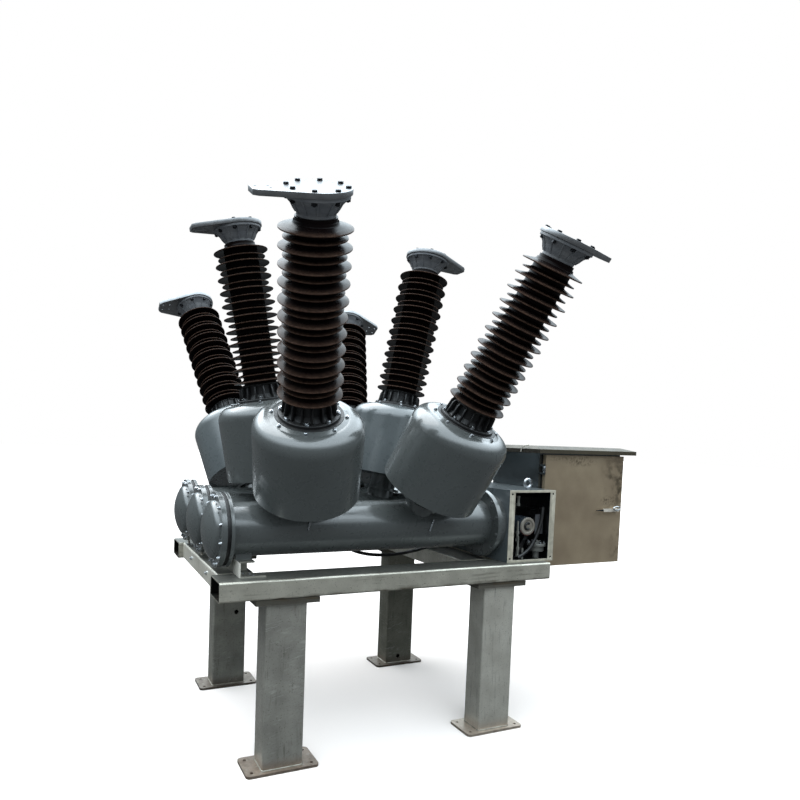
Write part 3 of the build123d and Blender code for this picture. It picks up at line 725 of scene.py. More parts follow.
# Cabinet: a brown stained door, a cool mirror-like side and a dark worn roof with painted shade down its left
# edge.
CABINET_DOOR = StainlessSheet("stained_door_stainless", stains=(
    Stain(0.46, 0.95, 0.22, 0.06, 14.0, 0.75), Stain(0.90, 0.84, 0.20, 0.26, 70.0, 0.85),
    Stain(0.96, 0.76, 0.10, 0.36, 45.0, 0.95), Stain(0.84, 0.58, 0.14, 0.06, 16.0, 0.8),
    Stain(0.96, 0.16, 0.10, 0.22, 50.0, 0.75), Stain(0.20, 0.97, 0.24, 0.03, 20.0, 0.5)))
CABINET_SHEET = StainlessSheet("cabinet_side_stainless", "cabinet_body", "#757a7c", "#666b6d", "#4a4842", 0.9,
                               (0.16, 0.26))
# Painted shade: the roof's first mark is an unbroken dark strip down its left edge.
ROOF_SHEET = StainlessSheet("roof_stainless", "cabinet_roof", "#4d4738", "#403b2e", "#2a261e", 0.2,
                            (0.42, 0.55), (
    Stain(0.0, 0.3, 0.003, 3.0, depth=0.95, shade_strip=True), Stain(0.5, 0.9, 0.6, 0.4, 34.0, 0.7),
    Stain(0.15, 0.9, 0.2, 0.4, 20.0, 0.6)))
# Rubber and plastic: matt blacks.
RUBBER = Moulded("black_cable_rubber")
PLASTIC = Moulded("black_moulded_plastic", "#121314", (0.35, 0.5))


# ---- Meshes ----

def rounded(corners: Sequence[Corner], steps: int = 4, closed: bool = False) -> list[Point2]:
    """Draws an outline with its corners rounded by arcs.

    Args:
        corners: (x, y, radius) of each corner, in millimetres; radius 0 keeps it sharp.
        steps: Runs in each arc.
        closed: Whether the last corner joins the first.

    Returns:
        The outline's points.
    """
    points: list[Point2] = []
    count = len(corners)
    for number, (x, y, radius) in enumerate(corners):
        inside = closed or 0 < number < count - 1
        if radius <= 0 or not inside:
            points.append((x, y))
            continue
        here = Vector((x, y))
        back = (Vector(corners[number - 1][:2]) - here).normalized()
        ahead = (Vector(corners[(number + 1) % count][:2]) - here).normalized()
        half = back.angle(ahead) / 2
        bisector = (back + ahead).normalized()
        centre = here + bisector * radius / math.sin(half)
        start, end = (here + run * radius / math.tan(half) - centre for run in (back, ahead))
        sweep = start.angle_signed(end)
        points += [tuple(centre + Matrix.Rotation(-sweep * step / steps, 2) @ start)
                   for step in range(steps + 1)]
    return points


def fresh_mesh(name: str, points: Iterable[Sequence[float]], faces: Iterable[Sequence[int]]) -> bpy.types.Mesh:
    """Makes a mesh with its faces turned outwards.

    Args:
        name: The mesh's name.
        points: Its corners, in millimetres.
        faces: Each face's corners by number.

    Returns:
        The mesh, in metres.
    """
    mesh = bpy.data.meshes.new(name)
    mesh.from_pydata([Vector(point) * MM for point in points], [], faces)
    shape = bmesh.new()
    shape.from_mesh(mesh)
    bmesh.ops.remove_doubles(shape, verts=shape.verts, dist=1e-6)
    bmesh.ops.recalc_face_normals(shape, faces=shape.faces)
    shape.to_mesh(mesh)
    shape.free()
    return mesh


def turned(name: str, outline: Sequence[Point2], segments: int = 96, loop: bool = False) -> bpy.types.Mesh:
    """Turns an outline about Z into a closed body.

    Args:
        name: The mesh's name.
        outline: (radius, height) points in millimetres.
        segments: Steps round the axis.
        loop: Whether the outline's end joins its start, as on a ring.

    Returns:
        The mesh, in metres.
    """
    points = []
    for step in range(segments):
        angle = math.tau * step / segments
        points += [(radius * math.cos(angle), radius * math.sin(angle), height) for radius, height in outline]
    count = len(outline)
    faces = []
    for step in range(segments):
        here, there = step * count, (step + 1) % segments * count
        for number in range(count if loop else count - 1):
            after = (number + 1) % count
            faces.append((here + number, there + number, there + after, here + after))
    return fresh_mesh(name, points, faces)


def plate(name: str, outline: Sequence[Point2], holes: Sequence[Sequence[Point2]], thickness: float,
          bevel: float = 0.8) -> bpy.types.Mesh:
    """Makes a flat plate on the XY plane, upwards from z = 0, with holes and softened edges.

    Args:
        name: The mesh's name.
        outline: The plate's outline in millimetres.
        holes: The outline of each hole.
        thickness: In millimetres.
        bevel: Width of the softened edges in millimetres; 0 leaves them sharp.

    Returns:
        The mesh, in metres.
    """
    shape = bmesh.new()
    edges = []
    for ring in (outline, *holes):
        corners = [shape.verts.new((x * MM, y * MM, 0)) for x, y in ring]
        edges += [shape.edges.new((corner, corners[number - 1])) for number, corner in enumerate(corners)]
    bmesh.ops.triangle_fill(shape, edges=edges, use_beauty=True, use_dissolve=False)
    bmesh.ops.dissolve_limit(shape, angle_limit=0.01, verts=shape.verts, edges=shape.edges)
    grown = bmesh.ops.extrude_face_region(shape, geom=shape.faces[:], use_keep_orig=True)
    moved = [item for item in grown["geom"] if isinstance(item, bmesh.types.BMVert)]
    bmesh.ops.translate(shape, verts=moved, vec=(0, 0, thickness * MM))
    bmesh.ops.recalc_face_normals(shape, faces=shape.faces)
    if bevel:
        rims = [edge for edge in shape.edges if len(edge.link_faces) == 2 and edge.calc_face_angle() > 1.2]
        bmesh.ops.bevel(shape, geom=rims, offset=bevel * MM, segments=2, profile=0.5, affect="EDGES",
                        clamp_overlap=True)
    mesh = bpy.data.meshes.new(name)
    shape.to_mesh(mesh)
    shape.free()
    return mesh


def ring_points(radius: float, count: int = 24, centre: Point2 = (0, 0)) -> list[Point2]:
    """The points of a circle, in millimetres."""
    turns = [math.tau * number / count for number in range(count)]
    return [(centre[0] + radius * math.cos(turn), centre[1] + radius * math.sin(turn)) for turn in turns]


def arc_points(radius: float, first: float, sweep: float, steps: int) -> list[Point2]:
    """The points of an arc, in millimetres, from its first angle over its sweep in degrees."""
    angles = [math.radians(first) + math.radians(sweep) * step / steps for step in range(steps + 1)]
    return [(radius * math.cos(angle), radius * math.sin(angle)) for angle in angles]


def bar(name: str, low: Point3, high: Point3, bevel: float = 1.0) -> bpy.types.Mesh:
    """Makes a box with softened edges.

    Args:
        name: The mesh's name.
        low: Its lower corner, in millimetres.
        high: Its upper corner.
        bevel: Width of the softened edges.

    Returns:
        The mesh, in metres.
    """
    outline = [(low[0], low[1]), (high[0], low[1]), (high[0], high[1]), (low[0], high[1])]
    mesh = plate(name, outline, (), high[2] - low[2], bevel)
    mesh.transform(Matrix.Translation((0, 0, low[2] * MM)))
    return mesh


def rod(name: str, points: Sequence[Point3], radius: float, sides: int = 16,
        closed: bool = False) -> bpy.types.Mesh:
    """Makes a round bar along a smooth path.

    Args:
        name: The mesh's name.
        points: What the path follows, in millimetres.
        radius: Of the bar.
        sides: About how many flats it has round it.
        closed: Whether the path's end joins its start.

    Returns:
        The mesh, in metres.
    """
    curve = bpy.data.curves.new(name, "CURVE")
    curve.dimensions = "3D"
    curve.bevel_depth = radius * MM
    curve.bevel_resolution = sides // 4
    curve.use_fill_caps = not closed
    spline = curve.splines.new("NURBS")
    spline.points.add(len(points) - 1)
    for target, point in zip(spline.points, points):
        target.co = (*(Vector(point) * MM), 1.0)
    spline.use_cyclic_u = closed
    spline.order_u = min(3, len(points))
    spline.use_endpoint_u = not closed
    holder = bpy.data.objects.new(name, curve)
    mesh = bpy.data.meshes.new_from_object(holder)
    bpy.data.objects.remove(holder)
    return mesh


def merged(name: str, parts: Iterable[tuple[bpy.types.Mesh, Matrix]]) -> bpy.types.Mesh:
    """Joins meshes into one.

    Args:
        name: The new mesh's name.
        parts: Each mesh and the place that moves it.

    Returns:
        The new mesh.
    """
    shape = bmesh.new()
    for mesh, place in parts:
        moved = mesh.copy()
        moved.transform(place)
        shape.from_mesh(moved)
        bpy.data.meshes.remove(moved)
    whole = bpy.data.meshes.new(name)
    shape.to_mesh(whole)
    shape.free()
    return whole


def joined(name: str, *meshes: bpy.types.Mesh) -> bpy.types.Mesh:
    """Joins meshes that already stand in one frame."""
    return merged(name, [(mesh, Matrix.Identity(4)) for mesh in meshes])


def place_piece(name: str, mesh: bpy.types.Mesh, finish: Finish, body: str = "base",
                crease: float = 38.0, replaced: Sequence[str] = ()) -> None:
    """Puts a mesh in the scene as a piece of the object.

    Args:
        name: The piece's name.
        mesh: Its mesh, in place, in metres.
        finish: What it is finished with.
        body: The CAD body that it moves with.
        crease: Faces that meet at more than this many degrees keep a sharp edge.
        replaced: CAD nodes that the piece stands for.
    """
    mesh.materials.clear()
    mesh.materials.append(finish.material())
    mesh.shade_smooth()
    mesh.set_sharp_from_angle(angle=math.radians(crease))
    piece = bpy.data.objects.new(name, mesh)
    bpy.context.scene.collection.objects.link(piece)
    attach(piece, body)
    if replaced:
        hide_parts(*replaced)
    LOG.info("%s: %d faces on %s", name, len(mesh.polygons), body)


def dress(finish: Finish, *nodes: str) -> None:
    """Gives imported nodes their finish.

    Args:
        finish: The finish.
        nodes: The nodes' names.
    """
    for node in nodes:
        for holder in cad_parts[node].material_slots:
            holder.material = finish.material()
        LOG.info("%s: %s", node, finish.name)


# ---- Geometry Nodes recipes ----

class Recipe:
    """A Geometry Nodes tree with named inputs that ends in Realize Instances and Set Material."""

    def __init__(self, name: str, inputs: dict[str, str]) -> None:
        """Starts the tree.

        Args:
            name: The tree's name.
            inputs: Each named input and its socket type, without the NodeSocket in front.
        """
        self.tree = bpy.data.node_groups.new(name, "GeometryNodeTree")
        face = self.tree.interface
        face.new_socket(name="Shape", in_out="INPUT", socket_type="NodeSocketGeometry")
        self.keys = {}
        for label, kind in {**inputs, "Material": "Material"}.items():
            socket = face.new_socket(name=label, in_out="INPUT", socket_type="NodeSocket" + kind)
            self.keys[label] = socket.identifier
        face.new_socket(name="Result", in_out="OUTPUT", socket_type="NodeSocketGeometry")
        self.given = add(self.tree, "NodeGroupInput").outputs

    def close(self, shape: bpy.types.NodeSocket) -> None:
        """Ends the tree with real geometry in the given material.

        Args:
            shape: What the tree has made.
        """
        real = add(self.tree, "GeometryNodeRealizeInstances", {"Geometry": shape}).outputs[0]
        dressed = add(self.tree, "GeometryNodeSetMaterial", {
            "Geometry": real, "Material": self.given["Material"]})
        add(self.tree, "NodeGroupOutput", {"Result": dressed.outputs[0]})

    def make(self, shape: bpy.types.Mesh, finish: Finish, **values: Any) -> bpy.types.Mesh:
        """Runs the tree on a mesh.

        Args:
            shape: What the tree starts from.
            finish: Its material goes on the result.
            values: The named inputs, with underscores for blanks.

        Returns:
            A plain mesh.
        """
        holder = bpy.data.objects.new(self.tree.name, shape)
        bpy.context.scene.collection.objects.link(holder)
        modifier = holder.modifiers.new(self.tree.name, "NODES")
        modifier.node_group = self.tree
        modifier[self.keys["Material"]] = finish.material()
        for label, value in values.items():
            modifier[self.keys[label.replace("_", " ")]] = value
        graph = bpy.context.evaluated_depsgraph_get()
        result = bpy.data.meshes.new_from_object(holder.evaluated_get(graph), depsgraph=graph)
        holder.modifiers.remove(modifier)
        bpy.data.objects.remove(holder)
        return result


class Stack(Recipe):
    """Repeats a shape along Z: the sheds of a porcelain."""

    def __init__(self) -> None:
        """Builds the tree."""
        super().__init__("stack_along_axis", {"Count": "Int", "Start": "Float", "Step": "Float"})
        start = add(self.tree, "ShaderNodeCombineXYZ", {"Z": self.given["Start"]}).outputs[0]
        step = add(self.tree, "ShaderNodeCombineXYZ", {"Z": self.given["Step"]}).outputs[0]
        line = add(self.tree, "GeometryNodeMeshLine", {
            "Count": self.given["Count"], "Start Location": start, "Offset": step})
        many = add(self.tree, "GeometryNodeInstanceOnPoints", {
            "Points": line.outputs[0], "Instance": self.given["Shape"]})
        self.close(many.outputs[0])


class Round(Recipe):
    """Repeats a shape round Z: the ribs of a casting."""

    def __init__(self) -> None:
        """Builds the tree."""
        super().__init__("repeat_round_axis", {"Count": "Int", "First Angle": "Float"})
        line = add(self.tree, "GeometryNodeMeshLine", {"Count": self.given["Count"], "Offset": (0, 0, 0)})
        step = add(self.tree, "ShaderNodeMath", {0: math.tau, 1: self.given["Count"]},
                   operation="DIVIDE").outputs[0]
        number = add(self.tree, "GeometryNodeInputIndex").outputs[0]
        angle = add(self.tree, "ShaderNodeMath", {0: step, 1: number, 2: self.given["First Angle"]},
                    operation="MULTIPLY_ADD").outputs[0]
        turn = add(self.tree, "FunctionNodeEulerToRotation", {
            0: add(self.tree, "ShaderNodeCombineXYZ", {"Z": angle}).outputs[0]}).outputs[0]
        many = add(self.tree, "GeometryNodeInstanceOnPoints", {
            "Points": line.outputs[0], "Instance": self.given["Shape"], "Rotation": turn})
        self.close(many.outputs[0])


class HexFasteners(Recipe):
    """Sets a hex bolt or nut with its washer on each point, along the point's axis and at its thread size.

    Sizes are shares of the thread's diameter, as on standard bolts.
    """

    crown_share = 0.84        # of the head's corners
    crown_height = 0.08
    stud_radii = (0.5, 0.44)

    def __init__(self) -> None:
        """Builds the tree."""
        super().__init__("hex_fasteners", {"Flats": "Float", "Head": "Float", "Washer": "Float",
                                           "Washer Thickness": "Float", "Stud": "Float", "Seed": "Int"})
        tree, given = self.tree, self.given
        axis = add(tree, "GeometryNodeInputNamedAttribute", {"Name": "axis"},
                   data_type="FLOAT_VECTOR").outputs[0]
        size = add(tree, "GeometryNodeInputNamedAttribute", {"Name": "size"}, data_type="FLOAT").outputs[0]
        aligned = add(tree, "FunctionNodeAlignRotationToVector", {"Vector": axis}, axis="Z").outputs[0]
        spin = add(tree, "FunctionNodeRandomValue", {3: math.tau, "Seed": given["Seed"]},
                   data_type="FLOAT").outputs[1]
        own = add(tree, "FunctionNodeAxisAngleToRotation", {"Axis": (0, 0, 1), "Angle": spin}).outputs[0]
        turn = add(tree, "FunctionNodeRotateRotation", {"Rotation": aligned, "Rotate By": own},
                   rotation_space="LOCAL").outputs[0]
        many = add(tree, "GeometryNodeInstanceOnPoints", {
            "Points": given["Shape"], "Instance": self.fastener(), "Rotation": turn, "Scale": size})
        self.close(many.outputs[0])

    def fastener(self) -> Socket:
        """Stacks a washer, a head, its chamfer and the stud, at a thread of 1.

        Returns:
            The fastener's geometry.
        """
        tree, given = self.tree, self.given
        corner = add(tree, "ShaderNodeMath", {0: given["Flats"], 1: 1 / math.sqrt(3)},
                     operation="MULTIPLY").outputs[0]
        crown = add(tree, "ShaderNodeMath", {0: corner, 1: self.crown_share}, operation="MULTIPLY").outputs[0]
        washer = (16, given["Washer"], given["Washer"], given["Washer Thickness"])
        head = (6, corner, corner, given["Head"])
        chamfer = (6, corner, crown, self.crown_height)
        stud = (10, *self.stud_radii, given["Stud"])
        height: Any = 0.0
        parts = []
        for sides, foot, top, tall in (washer, head, chamfer, stud):
            body = add(tree, "GeometryNodeMeshCone", {
                "Vertices": sides, "Radius Top": top, "Radius Bottom": foot, "Depth": tall}).outputs["Mesh"]
            lift = add(tree, "ShaderNodeCombineXYZ", {"Z": height}).outputs[0]
            parts.append(add(tree, "GeometryNodeTransform", {"Geometry": body, "Translation": lift}).outputs[0])
            height = add(tree, "ShaderNodeMath", {0: height, 1: tall}, operation="ADD").outputs[0]
        whole = add(tree, "GeometryNodeJoinGeometry")
        for part in parts:
            tree.links.new(part, whole.inputs[0])
        return whole.outputs[0]


class WeldBead(Recipe):
    """Runs a rippled bead of weld metal along the edges of a mesh."""

    def __init__(self) -> None:
        """Builds the tree."""
        super().__init__("weld_bead", {"Radius": "Float", "Ripple": "Float", "Seed": "Int"})
        tree, given = self.tree, self.given
        path = add(tree, "GeometryNodeMeshToCurve", {"Mesh": given["Shape"]}).outputs[0]
        even = add(tree, "GeometryNodeResampleCurve", {"Curve": path, "Length": given["Ripple"]}, mode="LENGTH")
        swell = add(tree, "FunctionNodeRandomValue", {2: 0.72, 3: 1.12, "Seed": given["Seed"]},
                    data_type="FLOAT").outputs[1]
        radius = add(tree, "ShaderNodeMath", {0: given["Radius"], 1: swell}, operation="MULTIPLY").outputs[0]
        profile = add(tree, "GeometryNodeCurvePrimitiveCircle", {"Resolution": 8, "Radius": 1.0}).outputs[0]
        bead = add(tree, "GeometryNodeCurveToMesh", {
            "Curve": even.outputs[0], "Profile Curve": profile, "Scale": radius})
        self.close(bead.outputs[0])


@dataclass(frozen=True)
class Seat:
    """Where one fastener sits: a point and an axis in metres, and its thread in millimetres."""

    point: Vector
    axis: Vector
    thread: float


def seats_round(place: Matrix, radius: float, height: float, count: int, thread: float, first: float = 0.0,
                up: float = 1.0) -> list[Seat]:
    """Seats on a bolt circle about a place's Z axis.

    Args:
        place: Where the circle's own frame lies.
        radius: Of the bolt circle, in millimetres.
        height: Of the face that the washers sit on, in millimetres.
        count: How many.
        thread: Thread size in millimetres.
        first: Angle of the first seat in degrees.
        up: 1 for heads that look up the axis, -1 for down.

    Returns:
        The seats.
    """
    seats = []
    for number in range(count):
        angle = math.radians(first) + math.tau * number / count
        point = Vector((radius * math.cos(angle), radius * math.sin(angle), height)) * MM
        seats.append(Seat(place @ point, place.to_3x3() @ Vector((0, 0, up)), thread))
    return seats


def seat_mesh(seats: Sequence[Seat]) -> bpy.types.Mesh:
    """Holds seats as loose points with the attributes that the fastener recipe reads.

    Args:
        seats: The seats.

    Returns:
        A mesh of one point each, with its axis and its size.
    """
    mesh = bpy.data.meshes.new("seats")
    mesh.from_pydata([seat.point for seat in seats], [], [])
    axes = mesh.attributes.new("axis", "FLOAT_VECTOR", "POINT")
    axes.data.foreach_set("vector", [part for seat in seats for part in seat.axis])
    sizes = mesh.attributes.new("size", "FLOAT", "POINT")
    sizes.data.foreach_set("value", [seat.thread * MM for seat in seats])
    return mesh


# ---- Layout ----

class Phase(Enum):
    """The three tanks, front to rear."""

    FRONT = -1
    MIDDLE = 0
    REAR = 1

    @property
    def label(self) -> str:
        """The start of the phase's node names."""
        return self.name.lower()


class Side(Enum):
    """The two bushings of a tank."""

    LEFT = -1
    RIGHT = 1

    @property
    def label(self) -> str:
        """The side as node names have it."""
        return self.name.lower()


@dataclass(frozen=True)
class Layout:
    """Where the assemblies' own frames lie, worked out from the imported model."""

    outer_tilt: float = 29.8
    bushing_lean: float = 10.6
    neck_centre: float = 837.5
    neck_half_spacing: float = 320.0

    def beams(self) -> Matrix:
        """A frame at the beams' left end, on their top, in line with the middle tank."""
        low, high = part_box("front_beam")
        return Matrix.Translation((low.x, 0, high.z))

    def at(self, x: float, y: float, z: float) -> Vector:
        """A point in metres from millimetres along the beams, across them and above their top."""
        return self.beams() @ (Vector((x, y, z)) * MM)

    def on_beams(self, mesh: bpy.types.Mesh) -> bpy.types.Mesh:
        """Moves a mesh out of the beams' frame into the part's, and hands it back."""
        mesh.transform(self.beams())
        return mesh

    def tank(self, phase: Phase) -> Matrix:
        """A frame on a tank's axis, which is its X, in line with the beams' left end.

        Args:
            phase: Which tank.

        Returns:
            The frame.
        """
        low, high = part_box(f"{phase.label}_tank_cover")
        middle = (low + high) / 2
        tilt = Matrix.Rotation(math.radians(-phase.value * self.outer_tilt), 4, "X")
        return Matrix.Translation((self.beams().translation.x, middle.y, middle.z)) @ tilt

    def bushing(self, phase: Phase, side: Side) -> Matrix:
        """A frame on a tank's axis whose Z runs up a bushing.

        Args:
            phase: Which tank.
            side: Which of its bushings.

        Returns:
            The frame.
        """
        along = (self.neck_centre + side.value * self.neck_half_spacing) * MM
        lean = Matrix.Rotation(math.radians(side.value * self.bushing_lean), 4, "Y")
        return self.tank(phase) @ Matrix.Translation((along, 0, 0)) @ lean


@dataclass(frozen=True)
class FastenerKind:
    """The proportions of one kind of fastener, as shares of its thread."""

    flats: float = 1.6
    head: float = 0.66
    washer: float = 1.0
    washer_thickness: float = 0.2
    stud: float = 0.3


NUT = FastenerKind(head=0.85, stud=0.2)
LOW_HEAD = FastenerKind(head=0.5, washer_thickness=0.12, stud=0.02)
PAINTED_IN = FastenerKind(head=0.6, washer=0.95, washer_thickness=0.15, stud=0.02)


class Fasteners:
    """Collects seats over the whole build and makes one piece for each name."""

    def __init__(self) -> None:
        """Starts with none."""
        self.recipe = HexFasteners()
        self.groups: dict[str, tuple[Finish, str, str, FastenerKind, list[Seat]]] = {}

    def put(self, name: str, finish: Finish, slot: str, seats: Sequence[Seat], body: str = "base",
            kind: FastenerKind = FastenerKind()) -> None:
        """Adds seats to a piece.

        Args:
            name: The piece's name.
            finish: Of the fasteners.
            slot: The record's slot; it is not used.
            seats: Where they sit.
            body: What they ride on.
            kind: Their proportions.
        """
        self.groups.setdefault(name, (finish, slot, body, kind, []))[4].extend(seats)

    def build(self) -> None:
        """Makes the pieces."""
        for seed, (name, (finish, slot, body, kind, seats)) in enumerate(self.groups.items(), start=1):
            mesh = self.recipe.make(
                seat_mesh(seats), finish, Flats=kind.flats, Head=kind.head, Washer=kind.washer,
                Washer_Thickness=kind.washer_thickness, Stud=kind.stud, Seed=seed)
            place_piece(name, mesh, finish, body, 30.0)


# ---- Bushings ----

@dataclass(frozen=True)
class Bushings:
    """The porcelains of one tank with their castings and terminal plates.

    Heights run from the tank's axis up the bushing, in millimetres.
    """

    layout: Layout
    fasteners: Fasteners
    stack: Stack
    round: Round
    phase: Phase
    ring: Point2 = (695.0, 711.0)
    ring_radius: float = 150.0
    housing_ring_radius: float = 170.0
    base_body_radius: float = 134.0
    base_neck_radius: float = 106.0
    base_top: float = 797.0
    base_ribs: int = 16
    core_radius: float = 94.0
    large_radius: float = 153.5
    small_radius: float = 134.0
    pitch: float = 73.4
    first_shed: float = 807.5
    large_count: int = 11
    porcelain_neck: float = 87.0
    porcelain_top: float = 1588.0
    neck_radius: float = 80.0
    flange_radius: float = 133.0
    flange_thickness: float = 14.0
    bell: tuple[Point2, ...] = ((80.0, 73.0), (91.0, 57.0), (100.0, 40.0), (122.0, 17.0))
    top_ribs: int = 12
    top_face: float = 1674.0
    plate_radius: float = 140.0
    plate_thickness: float = 22.0
    reach: float = 262.0
    tip_width: float = 112.0
    tip_chamfer: float = 18.0
    rim_arc: Point2 = (66.0, 228.0)
    pad_holes: Point2 = (214.0, 50.0)
    pad_hole_radius: float = 7.0
    plate_bolt_circle: float = 121.0
    flange_bolt_circle: float = 136.0
    ring_bolt_circle: float = 181.0
    ring_bolt_drop: float = 4.0
    bolt_count: int = 8
    thread: float = 12.0
    ring_thread: float = 10.0
    first_bolt: float = 22.5

    def both(self, name: str, mesh: bpy.types.Mesh, turn_left: bool = False) -> bpy.types.Mesh:
        """Copies a mesh to the tank's two bushings.

        Args:
            name: The new mesh's name.
            mesh: What is copied, in the bushing's frame.
            turn_left: Whether the left copy is turned half round.

        Returns:
            Both copies in one mesh.
        """
        half_turn = Matrix.Rotation(math.pi, 4, "Z")
        places = [(mesh, self.layout.bushing(self.phase, side)
                   @ (half_turn if turn_left and side is Side.LEFT else Matrix.Identity(4))) for side in Side]
        return merged(name, places)

    def shed(self, radius: float) -> bpy.types.Mesh:
        """One shed with a drip lip, a rounded rim and a fillet.

        Args:
            radius: Of its rim.

        Returns:
            The mesh, whose rim attribute marks the thinner glaze and the painted highlight at the rim.
        """
        core = self.core_radius
        reach = radius - core
        top = 5 + 0.24 * reach
        profile = rounded([
            (core - 2, 10.0, 0), (core + 3, 0.06 * reach + 0.6, 5.0), (radius - 13, 1.6, 4.0),
            (radius - 6, -0.2, 3.0), (radius, -0.2, 2.4), (radius, 5.6, 2.4),
            (core + 0.45 * reach, 5 + 0.13 * reach, 30.0), (core + 2, top, 9.0), (core - 2, top + 12, 0)], 3)
        mesh = turned("shed", profile, 72, loop=True)
        rims = mesh.attributes.new("rim", "FLOAT", "POINT")
        rims.data.foreach_set("value", [
            max(0.0, min(1.0, (vertex.co.xy.length / MM - radius + 5.0) / 4.0)) for vertex in mesh.vertices])
        return mesh

    def porcelains(self) -> None:
        """Core, neck and alternating sheds."""
        last = self.first_shed + self.pitch * (self.large_count - 1) + 20
        core = turned("core", rounded([
            (0, self.base_top - 4, 0), (self.core_radius, self.base_top - 4, 0), (self.core_radius, last, 6.0),
            (self.porcelain_neck, last + 12, 6.0), (self.porcelain_neck, self.porcelain_top, 0),
            (0, self.porcelain_top, 0)], 3), 72)
        rims = core.attributes.new("rim", "FLOAT", "POINT")
        rims.data.foreach_set("value", [0.0] * len(core.vertices))
        rows = ((self.large_radius, self.large_count, self.first_shed),
                (self.small_radius, self.large_count - 1, self.first_shed + self.pitch / 2))
        sheds = [self.stack.make(self.shed(radius), GLAZE, Count=count, Start=start * MM, Step=self.pitch * MM)
                 for radius, count, start in rows]
        name = f"{self.phase.label}_glazed_sheds"
        place_piece(name, self.both(name, joined(name, core, *sheds)), GLAZE, crease=50.0,
                    replaced=[f"{self.phase.label}_porcelains"])

    def upright(self, mesh: bpy.types.Mesh, thickness: float) -> bpy.types.Mesh:
        """Turns a flat rib of (radius, height) outline upright, with its middle on the XZ plane."""
        mesh.transform(Matrix.Rotation(math.pi / 2, 4, "X") @ Matrix.Translation((0, 0, -thickness * MM / 2)))
        return mesh

    def base_castings(self) -> None:
        """A flange ring, a waisted neck, and upright ribs with rounded edges."""
        low, high = self.ring
        neck, top = self.base_neck_radius, self.base_top
        body = turned("base_body", rounded([
            (0, low, 0), (self.ring_radius, low, 1.5), (self.ring_radius, high, 3.0), (neck + 16, high, 8.0),
            (neck, high + 24, 10.0), (neck, top - 12, 3.0), (neck + 3, top - 10, 1.5), (neck + 3, top - 1, 2.0),
            (self.core_radius + 3, top + 3, 2.0), (0, top + 3, 0)], 3), 96)
        reach = self.base_body_radius
        rib = plate("base_rib", [(neck - 4, high - 2), (reach, high - 2), (reach - 6, top - 24),
                                 (neck + 14, top - 10), (neck - 4, top - 8)], (), 9.0, 2.5)
        ribs = self.round.make(self.upright(rib, 9.0), CASTING, Count=self.base_ribs,
                               First_Angle=math.pi / self.base_ribs)
        name = f"{self.phase.label}_ribbed_base_castings"
        place_piece(name, self.both(name, joined(name, body, ribs)), CASTING,
                    replaced=[f"{self.phase.label}_base_castings"])
        inner, outer = self.ring_radius - 3, self.housing_ring_radius - 1.5
        seal = turned("seal", rounded([(inner, low - 1, 0.5), (outer, low - 1, 0.5), (outer, low + 2.5, 1.2),
                                       (inner, low + 2.5, 0.5)], 3, True), 96, loop=True)
        name = f"{self.phase.label}_seal_rings"
        place_piece(name, self.both(name, seal), CASTING)

    def top_castings(self) -> None:
        """A bell that widens from the porcelain's neck to a flange, with low ribs and rounded edges."""
        low, high = self.porcelain_top, self.top_face
        under = high - self.flange_thickness
        bell = [(radius, high - down) for radius, down in self.bell]
        flange = self.flange_radius
        body = turned("top_body", rounded(
            [(0, low, 0), (self.neck_radius, low, 2.0)] + [(radius, height, 12.0) for radius, height in bell]
            + [(flange, under, 2.0), (flange, high, 2.0), (0, high, 0)], 3), 96)
        proud = [(radius + 5, height) for radius, height in bell]
        inner = self.neck_radius - 4
        rib = plate("top_rib", [(inner, bell[0][1]), *proud, (proud[-1][0], under + 2), (inner, under + 2)],
                    (), 8.0, 2.0)
        ribs = self.round.make(self.upright(rib, 8.0), TOP_CASTING, Count=self.top_ribs,
                               First_Angle=math.pi / self.top_ribs)
        name = f"{self.phase.label}_belled_top_castings"
        place_piece(name, self.both(name, joined(name, body, ribs)), TOP_CASTING,
                    replaced=[f"{self.phase.label}_top_castings"])

    def terminals(self) -> None:
        """Machined plates with a tapered pad and four holes."""
        half, chamfer, reach = self.tip_width / 2, self.tip_chamfer, self.reach
        outline = [*arc_points(self.plate_radius, *self.rim_arc, 48), (reach - chamfer, -half),
                   (reach, -half + chamfer), (reach, half - chamfer), (reach - chamfer, half)]
        centre, square = self.pad_holes
        holes = [ring_points(self.pad_hole_radius, 20, (centre + x * square / 2, y * square / 2))
                 for x in (-1, 1) for y in (-1, 1)]
        mesh = plate("terminal", outline, holes, self.plate_thickness, 1.2)
        mesh.transform(Matrix.Translation((0, 0, self.top_face * MM)))
        name = f"{self.phase.label}_machined_terminal_plates"
        place_piece(name, self.both(name, mesh, True), TERMINAL_ALUMINIUM,
                    replaced=[f"{self.phase.label}_terminal_plates"])

    def bolts(self) -> None:
        """Bolt circles of the flanges."""
        over, under = self.top_face + self.plate_thickness, self.top_face - self.flange_thickness
        ring_face = self.ring[0] - self.ring_bolt_drop
        count, thread, first = self.bolt_count, self.thread, self.first_bolt
        for side in Side:
            place = self.layout.bushing(self.phase, side)
            self.fasteners.put("terminal_bolts", BLACKENED_STEEL, "black_paint", seats_round(
                place, self.plate_bolt_circle, over, count, thread, first), kind=LOW_HEAD)
            self.fasteners.put("terminal_nuts", BLACKENED_STEEL, "black_paint", seats_round(
                place, self.plate_bolt_circle, under, count, thread, first, -1), kind=NUT)
            self.fasteners.put("porcelain_flange_bolts", ZINC_PLATE, "bright_metal", seats_round(
                place, self.flange_bolt_circle, self.ring[1], count, thread, first))
            self.fasteners.put("housing_ring_bolts", ZINC_PLATE, "bright_metal", seats_round(
                place, self.ring_bolt_circle, ring_face, count, self.ring_thread, first))

